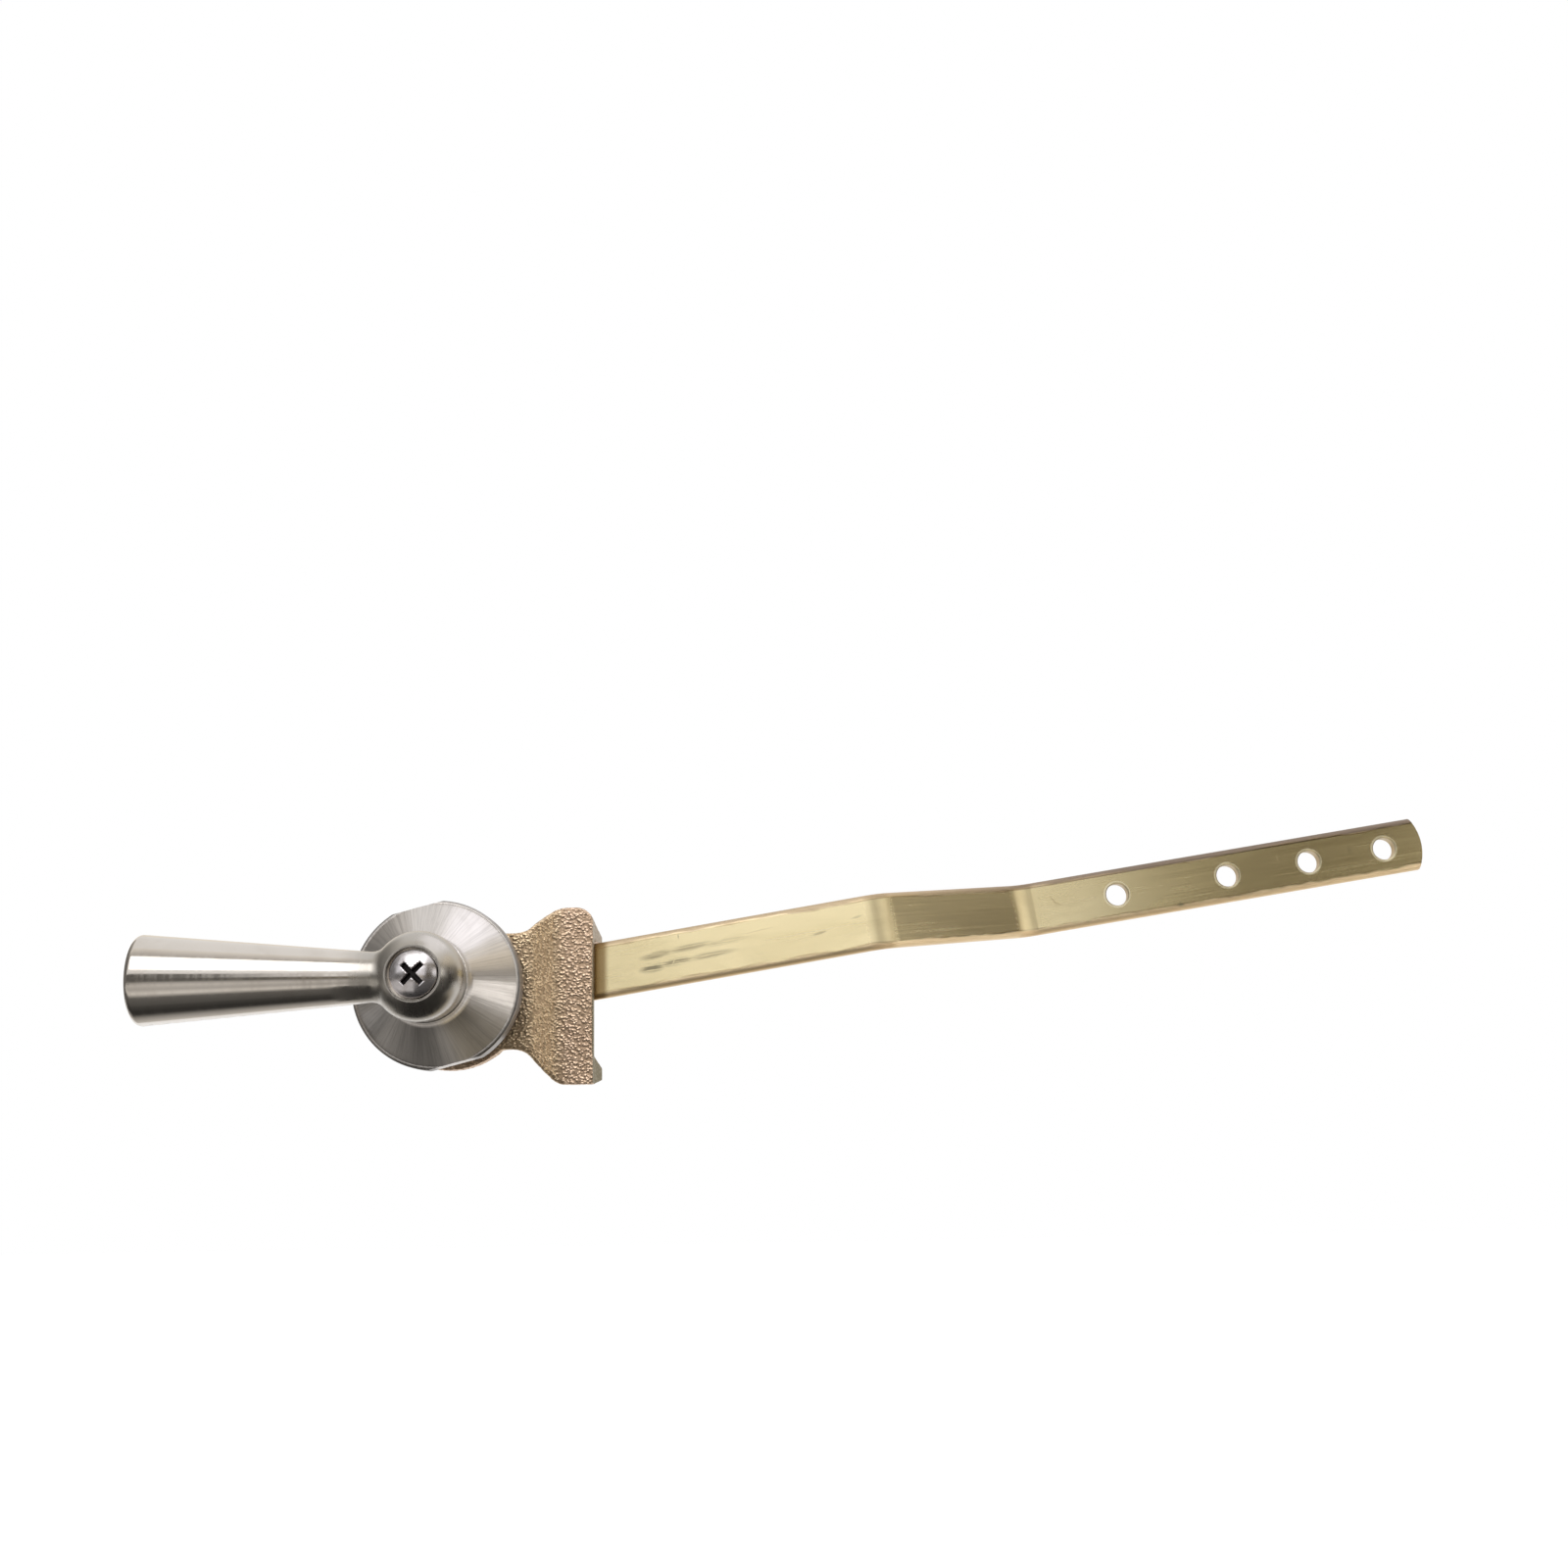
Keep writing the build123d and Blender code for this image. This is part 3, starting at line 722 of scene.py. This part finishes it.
brassFinish = {
    "colour": (0.76, 0.61, 0.33),
    "stain": (0.52, 0.40, 0.20),
    "stains": (260.0, 0.52, 0.2),
    "along": 4200.0,
    "around": 3.0,
    "roughness": (0.24, 0.36),
    "lineDepth": 5.0e-6,
}
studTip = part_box("spindle")[1].y
studThread = {
    "crest": 3.0 * mm,
    "root": 2.45 * mm,
    "core": 2.4 * mm,
    "bore": 1.9 * mm,
    "pitch": 1.0 * mm,
    "start": studTip - 3.0 * mm,
    "end": studTip - 0.03 * mm,
    "steps": 48,
    "chamfered": True,
    "turned": (20.0 * mm, studTip + 1.0 * mm),
    "slack": 0.05 * mm,
}


def spindlePiece():
    # the spindle with its stud turned down to the thread's core
    body = cadCopy("spindle")
    turnDown(body, studThread)
    piece = newPiece("spindleCore", body)
    smoothShade(piece, sharpest=30)
    return piece


dress("arm", armMaterial())
turnedBrass = turnedMaterial("turnedBrass", brassFinish)
for part in ("arm_washer", "arm_nut"):
    dress(part, turnedBrass)
spindle = spindlePiece()
stud = threadSleeve("studThread", studThread)
for turnedPiece in (spindle, stud):
    turnedPiece.data.materials.append(turnedBrass)
    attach(turnedPiece, "lever")
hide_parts("spindle")
print("brass done")


# rubber gaskets and nylon bushes

rubberFinish = {
    "colour": (0.018, 0.018, 0.019),
    "bloom": (0.05, 0.05, 0.052),
    "blooms": (140.0, 0.56, 0.2),
    "grain": 2600.0,
    "grainRange": (0.2, 0.8),
    "grainDepth": 2.0e-5,
    "roughness": (0.6, 0.8),
}
nylonFinish = {
    "colour": (0.74, 0.72, 0.65),
    "cloud": (0.66, 0.63, 0.55),
    "clouds": 180.0,
    "roughness": (0.38, 0.5),
    "glow": 0.15,
    "glowRadius": (2.0 * mm, 2.0 * mm, 1.5 * mm),
}


def rubberMaterial():
    material, tree, shader = newMaterial("blackRubber")
    point = objectPoint(tree)
    bloom = patches(tree, point, *rubberFinish["blooms"])
    grain = noiseValue(tree, point, rubberFinish["grain"])
    colour = mixColour(tree, bloom, rgb(rubberFinish["colour"]), rgb(rubberFinish["bloom"]))
    plug(tree, colour, shader.inputs["Base Color"])
    rough = fade(tree, grain, *rubberFinish["grainRange"], *rubberFinish["roughness"])
    plug(tree, rough, shader.inputs["Roughness"])
    plug(tree, bumpNormal(tree, grain, rubberFinish["grainDepth"]), shader.inputs["Normal"])
    return material


def nylonMaterial():
    material, tree, shader = newMaterial("whiteNylon")
    cloud = noiseValue(tree, objectPoint(tree), nylonFinish["clouds"], detail=2.0)
    colour = mixColour(tree, cloud, rgb(nylonFinish["colour"]), rgb(nylonFinish["cloud"]))
    plug(tree, colour, shader.inputs["Base Color"])
    plug(tree, fade(tree, cloud, *noiseSpan, *nylonFinish["roughness"]), shader.inputs["Roughness"])
    shader.inputs["Subsurface Weight"].default_value = nylonFinish["glow"]
    shader.inputs["Subsurface Radius"].default_value = nylonFinish["glowRadius"]
    return material


rubber = rubberMaterial()
for gasket in ("outer_gasket", "inner_gasket"):
    dress(gasket, rubber)
nylon = nylonMaterial()
for bush in ("front_bush", "rear_bush"):
    dress(bush, nylon)
print("rubber and nylon done")


# sand-cast bracket: the casting's own skin, refined so that its grain is real relief

casting = {
    "machinedReach": 10.3 * mm,
    "groundFace": 29.2 * mm,
    "groundFacing": 0.8,
    "grainStep": 0.47 * mm,
    "grainRounds": 9,
    "grainSize": 0.72 * mm,
    "grainDepth": 0.055 * mm,
    "grainSink": 0.8,
    "fineShare": 0.6,
    "fineScale": 2.07,
    "fineShift": (7.3, 1.9, 4.4),
    "valleySpan": (11.5 * mm, 25.0 * mm),
    "valleyPasses": 22,
    "lugStart": 18.3 * mm,
    "lugPasses": 4,
    "edgePasses": 2,
    "colour": (0.76, 0.56, 0.415),
    "valley": (0.72, 0.575, 0.355),
    "valleyShare": 0.6,
    "valleyStart": (8.0 * mm, 12.0 * mm),
    "valleyEnd": (20.5 * mm, 24.5 * mm),
    "tones": (90.0, 0.5, 0.3),
    "toneShare": 0.2,
    "hollow": (0.34, 0.235, 0.15),
    "hollowRange": (-0.7, 0.1),
    "hollowShare": 0.65,
    # the ground faces' tone, darkened as painted shade, and the lower lug's, darker still as painted shade
    "groundShade": (0.47, 0.41, 0.35),
    "lowLugShade": (0.24, 0.21, 0.14),
    "lugSpan": (-4.0 * mm, 4.0 * mm),
    "pebbles": 1450.0,
    "pebbleStretch": (1, 1, 1.3),
    "pebbleSoft": 0.6,
    "pebbleRange": (0.05, 0.75),
    "pebbleRise": (0.2, 0.8, -0.6, 0.6),
    "pebbleDepth": 1.3e-4,
    "wanders": 1100.0,
    "wander": 0.5 * mm,
    "reliefShare": 0.5,
    "roughRange": (-0.6, 0.6),
    "roughness": (0.50, 0.30),
}
shankThread = {
    "crest": 9.0 * mm,
    "root": 8.25 * mm,
    "core": 8.2 * mm,
    "bore": 7.6 * mm,
    "pitch": 1.5 * mm,
    "start": -6.4 * mm,
    "end": 10.6 * mm,
    "steps": 72,
    "chamfered": False,
    "turned": (-20.0 * mm, 10.4 * mm),
    "slack": 0.2 * mm,
    "colour": (0.66, 0.50, 0.33),
    "stain": (0.47, 0.34, 0.21),
    "stains": (220.0, 0.5, 0.25),
    "along": 5200.0,
    "around": 4.0,
    "roughness": (0.26, 0.40),
    "lineDepth": 6.0e-6,
}


def isCast(vert):
    # the shank, bore and boss are machined
    return reachOf(vert.co) > casting["machinedReach"]


def isGround(vert):
    # the bar's end face and the lugs' are ground flat
    return vert.co.x > casting["groundFace"] and vert.normal.x > casting["groundFacing"]


def refineSkin(body):
    for roundNumber in range(casting["grainRounds"]):
        longEdges = [e for e in body.edges
                     if e.calc_length() > casting["grainStep"] and all(isCast(v) for v in e.verts)]
        if not longEdges:
            break
        bmesh.ops.subdivide_edges(body, edges=longEdges, cuts=1)
        bmesh.ops.triangulate(body, faces=[f for f in body.faces if len(f.verts) > 3])
    # thin triangles leave a few faces folded back on each other
    body.verts.index_update()
    twins = {}
    for face in body.faces:
        twins.setdefault(frozenset(v.index for v in face.verts), []).append(face)
    folded = [face for group in twins.values() if len(group) > 1 for face in group]
    bmesh.ops.delete(body, geom=folded, context="FACES")


def softenSkin(body):
    # the mould's sand rounds off the valley between flange and bar, the lugs and every edge
    low, high = casting["valleySpan"]
    skin = [v for v in body.verts if isCast(v)]
    valley = [v for v in skin if low < v.co.x < high and reachOf(v.co) > low]
    lugs = [v for v in skin if v.co.y > casting["lugStart"]]
    for group, passes in ((valley, "valleyPasses"), (lugs, "lugPasses"), (skin, "edgePasses")):
        for turn in range(casting[passes]):
            bmesh.ops.smooth_vert(body, verts=group, factor=0.5, use_axis_x=True, use_axis_y=True,
                                  use_axis_z=True)
    body.normal_update()


def grainHeight(point):
    p = point / casting["grainSize"]
    fine = noise.noise(p * casting["fineScale"] + Vector(casting["fineShift"]))
    return noise.noise(p) + casting["fineShare"] * fine


def castBracket():
    body = cadCopy("bracket")
    turnDown(body, shankThread)
    refineSkin(body)
    softenSkin(body)
    heights = [grainHeight(v.co) for v in body.verts]
    skinMask = [1.0 if isCast(v) and not isGround(v) else 0.0 for v in body.verts]
    moves = [v.normal * (casting["grainDepth"] * (height - casting["grainSink"]) if rough else 0.0)
             for v, height, rough in zip(body.verts, heights, skinMask)]
    least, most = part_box("bracket")
    for v, move in zip(body.verts, moves):   # the grain stays inside the casting's own box
        v.co = [min(max(part, a), b) for part, a, b in zip(v.co + move, least, most)]
    piece = newPiece("castBracket", body)
    for name, values in (("grain", heights), ("castSkin", skinMask)):
        piece.data.attributes.new(name, "FLOAT", "POINT").data.foreach_set("value", values)
    smoothShade(piece, sharpest=55)
    print("casting refined to", len(piece.data.polygons), "faces")
    return piece


def pebbleMask(tree, point):
    # pebbled sand grain, a little flattened
    wander = addNode(tree, "ShaderNodeTexNoise",
                     {"Vector": point, "Scale": casting["wanders"], "Detail": 2.0}).outputs["Color"]
    shift = vectorMath(tree, "SCALE", {0: wander, 3: casting["wander"]})
    strayed = vectorMath(tree, "ADD", {0: scaled(tree, point, casting["pebbleStretch"]), 1: shift})
    inputs = {"Vector": strayed, "Scale": casting["pebbles"], "Smoothness": casting["pebbleSoft"]}
    cells = addNode(tree, "ShaderNodeTexVoronoi", inputs, feature="SMOOTH_F1").outputs["Distance"]
    return fade(tree, cells, *casting["pebbleRange"], 1.0, 0.0)


def castMaterial():
    material, tree, shader = newMaterial("sandCastBronze", metallic=1.0)
    point = objectPoint(tree)
    parts = split(tree, point)
    height = addNode(tree, "ShaderNodeAttribute", attribute_name="grain").outputs["Fac"]
    skin = addNode(tree, "ShaderNodeAttribute", attribute_name="castSkin").outputs["Fac"]
    pebble = pebbleMask(tree, point)
    tone = patches(tree, point, *casting["tones"])
    slope = times(tree, fade(tree, parts[0], *casting["valleyStart"]),
                  fade(tree, parts[0], *casting["valleyEnd"], 1.0, 0.0))
    rise = plus(tree, times(tree, height, casting["reliefShare"]),
                fade(tree, pebble, *casting["pebbleRise"]))
    valley = rgb(casting["valley"])
    slope = times(tree, slope, casting["valleyShare"])
    colour = mixColour(tree, slope, rgb(casting["colour"]), valley)
    colour = mixColour(tree, times(tree, tone, casting["toneShare"]), colour, valley)
    hollow = fade(tree, rise, *casting["hollowRange"], casting["hollowShare"], 0.0)
    colour = mixColour(tree, hollow, colour, rgb(casting["hollow"]))
    # painted shade: the ground faces are darkened, the lower lug more
    groundShade = mixColour(tree, fade(tree, parts[2], *casting["lugSpan"]), rgb(casting["lowLugShade"]),
                       rgb(casting["groundShade"]))
    plug(tree, mixColour(tree, skin, groundShade, colour), shader.inputs["Base Color"])
    rough = fade(tree, rise, *casting["roughRange"], *casting["roughness"])
    plug(tree, rough, shader.inputs["Roughness"])
    grain = bumpNormal(tree, times(tree, pebble, skin), casting["pebbleDepth"])
    plug(tree, grain, shader.inputs["Normal"])
    return material


bracket = castBracket()
bracket.data.materials.append(castMaterial())
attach(bracket, "wall_mount")
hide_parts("bracket")
thread = threadSleeve("shankThread", shankThread)
thread.data.materials.append(turnedMaterial("cutBronzeThread", shankThread))
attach(thread, "wall_mount")
print("casting done")


# studio: pale floor, softboxes, and dim cards that only reflections see

studio = {
    "floorHeight": -0.16,
    "floorSize": 8.0,
    "floorTones": ((0.50, 0.50, 0.50), (0.54, 0.54, 0.54)),
    "floorClouds": 9.0,
    "floorGlow": 0.72,
    "worldGlow": 1.0,
    "worldLight": 0.6,
}
plainWhite = (1.0, 1.0, 1.0)
coolDim = (1.0, 0.97, 0.92)
warmDim = (1.0, 0.87, 0.62)
facingUp = (0, 0, 1)
facingBack = (0, 1, 0)
facingLeft = (-1, 0, 0)
# each card's glow runs through its stops, (place along the axis, level)
cards = {
    "frontCard": {
        "centre": (0.05, -0.90, -0.36), "facing": facingBack, "size": (2.6, 1.06),
        "axis": 2, "tint": coolDim,
        "stops": [(-0.5, 0.16), (0.16, 0.13)],
    },
    "frontRightCard": {
        "centre": (0.80, -0.89, 0.0), "facing": facingBack, "size": (0.84, 1.4),
        "axis": 2, "tint": warmDim,
        "stops": [(0.0, 0.10), (0.7, 0.24)],
    },
    "underCard": {
        "centre": (0.10, -0.35, -0.11), "facing": facingUp, "size": (2.4, 0.9),
        "axis": 1, "tint": coolDim,
        "stops": [(-0.75, 0.18), (-0.2, 0.10), (-0.06, 0.08), (-0.025, 0.04), (-0.007, 0.05),
                  (0.026, 0.40), (0.085, 0.70)],
    },
    "underLeftCard": {
        "centre": (-0.365, -0.405, -0.1095), "facing": facingUp, "size": (0.69, 0.69),
        "axis": 1, "tint": coolDim,
        "stops": [(-0.75, 0.20), (-0.344, 0.70), (-0.219, 0.53), (-0.157, 0.85), (-0.117, 0.16),
                  (-0.060, 0.10)],
    },
    "underFarLeftCard": {
        "centre": (-0.36, 0.03, -0.1090), "facing": facingUp, "size": (0.36, 0.16),
        "axis": 0, "tint": coolDim,
        "stops": [(-0.54, 0.13), (-0.18, 0.11)],
    },
    "underRightCard": {
        "centre": (0.17, -0.0285, -0.1095), "facing": facingUp, "size": (0.36, 0.047),
        "axis": 0, "tint": coolDim,
        "stops": [(-0.012, 0.16), (0.012, 0.36), (0.04, 0.14), (0.09, 0.12), (0.16, 0.36),
                  (0.25, 0.7), (0.35, 0.8)],
    },
    "underArmCard": {
        "centre": (0.145, 0.03, -0.1090), "facing": facingUp, "size": (0.25, 0.07),
        "axis": 0, "tint": warmDim,
        "stops": [(0.02, 0.60), (0.10, 0.62), (0.16, 0.62), (0.27, 0.65)],
    },
    "underHubCard": {
        "centre": (0.18, -0.082, -0.1095), "facing": facingUp, "size": (0.36, 0.06),
        "axis": 0, "tint": coolDim,
        "stops": [(0.0, 0.02), (0.36, 0.02)],
    },
    "backCard": {
        "centre": (0.2, 0.95, 0.2), "facing": (0, -1, 0), "size": (2.6, 1.2),
        "axis": 2, "tint": (1.0, 0.94, 0.84),
        "stops": [(-0.4, 0.45), (-0.1, 0.72), (0.05, 0.86), (0.3, 0.94), (0.8, 1.0)],
    },
    "armFrontCard": {
        "centre": (0.12, -0.895, -0.17), "facing": facingBack, "size": (0.36, 0.34),
        "axis": 2, "tint": warmDim,
        "stops": [(-0.34, 0.50), (0.0, 0.50)],
    },
    "hubFlag": {
        "centre": (0.060, -0.0325, -0.011), "facing": facingLeft, "size": (0.026, 0.038),
        "axis": 2, "tint": coolDim,
        "stops": [(-0.03, 0.04), (0.008, 0.04)],
    },
    "underHubFlag": {
        "centre": (0.008, -0.03225, -0.022), "facing": facingUp, "size": (0.052, 0.0355),
        "axis": 0, "tint": coolDim,
        "stops": [(-0.018, 0.09), (-0.007, 0.035), (0.034, 0.02)],
    },
    "overheadCard": {
        "centre": (-0.25, -0.30, 0.75), "facing": (0, 0, -1), "size": (0.70, 0.36),
        "axis": 1, "tint": coolDim,
        "stops": [(-0.48, 0.50), (-0.12, 1.0)],
    },
    "leftCard": {
        "centre": (-0.75, 0.1, 0.4), "facing": (1, 0, 0), "size": (1.4, 1.8),
        "axis": 2, "tint": coolDim,
        "stops": [(-0.5, 0.18), (0.4, 0.20), (0.64, 0.33), (0.98, 0.55), (1.3, 0.85)],
    },
    "rightCard": {
        "centre": (1.05, -0.1, 0.2), "facing": facingLeft, "size": (1.4, 1.4),
        "axis": 2, "tint": (1.0, 0.91, 0.76),
        "stops": [(-0.5, 0.14), (0.32, 0.14), (0.44, 0.72), (0.60, 1.0), (0.85, 1.05)],
    },
    "sideCard": {
        "centre": (0.30, -0.032, -0.0225), "facing": facingLeft, "size": (0.044, 0.165),
        "axis": 2, "tint": (1.0, 0.98, 0.95),
        "stops": [(-0.105, 2.3), (-0.085, 4.8), (-0.05, 5.6), (0.0, 4.4), (0.03, 2.4), (0.06, 0.4)],
    },
}
softboxes = {
    "keySoftbox": {"place": (-0.045, -0.70, 0.55), "aim": (-0.045, 0, 0), "size": (0.75, 0.54), "glow": 1.6,
                   "tint": plainWhite},
    "lowFill": {"place": (0.11, -0.84, 0.075), "aim": (0.11, 0, 0.075), "size": (0.46, 0.15), "glow": 0.95,
                "tint": plainWhite},
    "rightFill": {"place": (0.70, -0.58, 0.13), "aim": (0.1, 0, 0), "size": (0.30, 0.26), "glow": 1.3,
                  "tint": plainWhite},
    "topSoftbox": {"place": (0.28, 0.0, 0.80), "aim": (0, 0, 0), "size": (0.90, 0.60), "glow": 0.58,
                   "tint": (0.96, 0.97, 1.12)},
}


def seenRays(tree):
    # 1 for what the camera sees, straight or by way of metal and glass
    rays = addNode(tree, "ShaderNodeLightPath").outputs
    return mathNode(tree, "ADD", plus(tree, rays["Is Camera Ray"], rays["Is Glossy Ray"]),
                    rays["Is Transmission Ray"], clamp=True)


def floorMaterial():
    material, tree, shader = newMaterial("paleFloor")
    shade = noiseValue(tree, objectPoint(tree), studio["floorClouds"])
    dark, light = studio["floorTones"]
    plug(tree, mixColour(tree, shade, rgb(dark), rgb(light)), shader.inputs["Base Color"])
    shader.inputs["Roughness"].default_value = 1.0
    shader.inputs["Specular IOR Level"].default_value = 0.0
    shader.inputs["Emission Color"].default_value = rgb(plainWhite)
    plug(tree, times(tree, seenRays(tree), studio["floorGlow"]), shader.inputs["Emission Strength"])
    return material


def stagePlane(name, centre, facing, size, material):
    # a card of a given width and height, square to the direction it faces
    card = bmesh.new()
    bmesh.ops.create_grid(card, x_segments=1, y_segments=1, size=0.5)
    bmesh.ops.scale(card, vec=(size[0], size[1], 1), verts=card.verts)
    turn = Vector(facing).to_track_quat("Z", "Y").to_matrix()
    bmesh.ops.rotate(card, cent=(0, 0, 0), matrix=turn, verts=card.verts)
    bmesh.ops.translate(card, vec=centre, verts=card.verts)
    plane = newPiece(name, card)
    plane.data.materials.append(material)
    return plane


def glowMaterial(name, axis, stops, tint):
    material, tree, shader = newMaterial(name)
    shader.inputs["Base Color"].default_value = (0, 0, 0, 1)
    shader.inputs["Specular IOR Level"].default_value = 0.0
    along = split(tree, objectPoint(tree))[axis]
    low, high = stops[0][0], stops[-1][0]
    share = addNode(tree, "ShaderNodeMapRange", {0: along, 1: low, 2: high}).outputs[0]
    ramp = addNode(tree, "ShaderNodeValToRGB", {0: share})
    spots = ramp.color_ramp.elements
    for place, level in stops[1:-1]:
        spots.new((place - low) / (high - low)).color = rgb([level] * 3)
    spots[0].color = rgb([stops[0][1]] * 3)
    spots[len(spots) - 1].color = rgb([stops[-1][1]] * 3)
    glow = mixColour(tree, 1.0, ramp.outputs[0], rgb(tint), "MULTIPLY")
    plug(tree, glow, shader.inputs["Emission Color"])
    shader.inputs["Emission Strength"].default_value = 1.0
    return material


def dimCard(name, card):
    plane = stagePlane(name, card["centre"], card["facing"], card["size"],
                       glowMaterial(name, card["axis"], card["stops"], card["tint"]))
    plane.visible_camera = False
    plane.visible_diffuse = False
    plane.visible_shadow = False


def softbox(name, box):
    lamp = bpy.data.lights.new(name, "AREA")
    lamp.shape = "RECTANGLE"
    lamp.size, lamp.size_y = box["size"]
    lamp.color = box["tint"]
    lamp.energy = box["glow"] * math.pi * box["size"][0] * box["size"][1]
    holder = bpy.data.objects.new(name, lamp)
    look = Vector(box["aim"]) - Vector(box["place"])
    holder.location = box["place"]
    holder.rotation_euler = look.to_track_quat("-Z", "Y").to_euler()
    holder.visible_camera = False
    bpy.context.scene.collection.objects.link(holder)


def paleWorld():
    world = bpy.data.worlds.new("studioWorld")
    bpy.context.scene.world = world
    world.use_nodes = True
    sky = world.node_tree
    sky.nodes.clear()
    strength = fade(sky, seenRays(sky), 0.0, 1.0, studio["worldLight"], studio["worldGlow"])
    glow = addNode(sky, "ShaderNodeBackground", {"Color": rgb(plainWhite), "Strength": strength})
    output = addNode(sky, "ShaderNodeOutputWorld")
    sky.links.new(glow.outputs[0], output.inputs["Surface"])


floorSize = (studio["floorSize"], studio["floorSize"])
stagePlane("floor", (0, 0, studio["floorHeight"]), facingUp, floorSize, floorMaterial())
for name, card in cards.items():
    dimCard(name, card)
for name, box in softboxes.items():
    softbox(name, box)
paleWorld()
print("studio done")


# camera at the photograph's viewing angle

viewpoint = {
    "place": (84.458 * mm, -412.462 * mm, -41.435 * mm),
    "aim": (71.55 * mm, 0.0, 40.98 * mm),
    "roll": -1.0246,
    "lens": 46.218,
    "sensor": 36.0,
    "clipStart": 10.0 * mm,
}


def placeCamera():
    lens = bpy.data.cameras.new("camera")
    lens.lens = viewpoint["lens"]
    lens.sensor_width = viewpoint["sensor"]
    lens.sensor_fit = "HORIZONTAL"
    lens.clip_start = viewpoint["clipStart"]
    camera = bpy.data.objects.new("camera", lens)
    look = Vector(viewpoint["aim"]) - Vector(viewpoint["place"])
    turn = look.to_track_quat("-Z", "Y") @ Quaternion((0, 0, 1), math.radians(viewpoint["roll"]))
    camera.location = viewpoint["place"]
    camera.rotation_euler = turn.to_euler()
    bpy.context.scene.collection.objects.link(camera)
    bpy.context.scene.camera = camera


placeCamera()
bpy.context.scene.view_settings.view_transform = "Standard"
print("camera done")
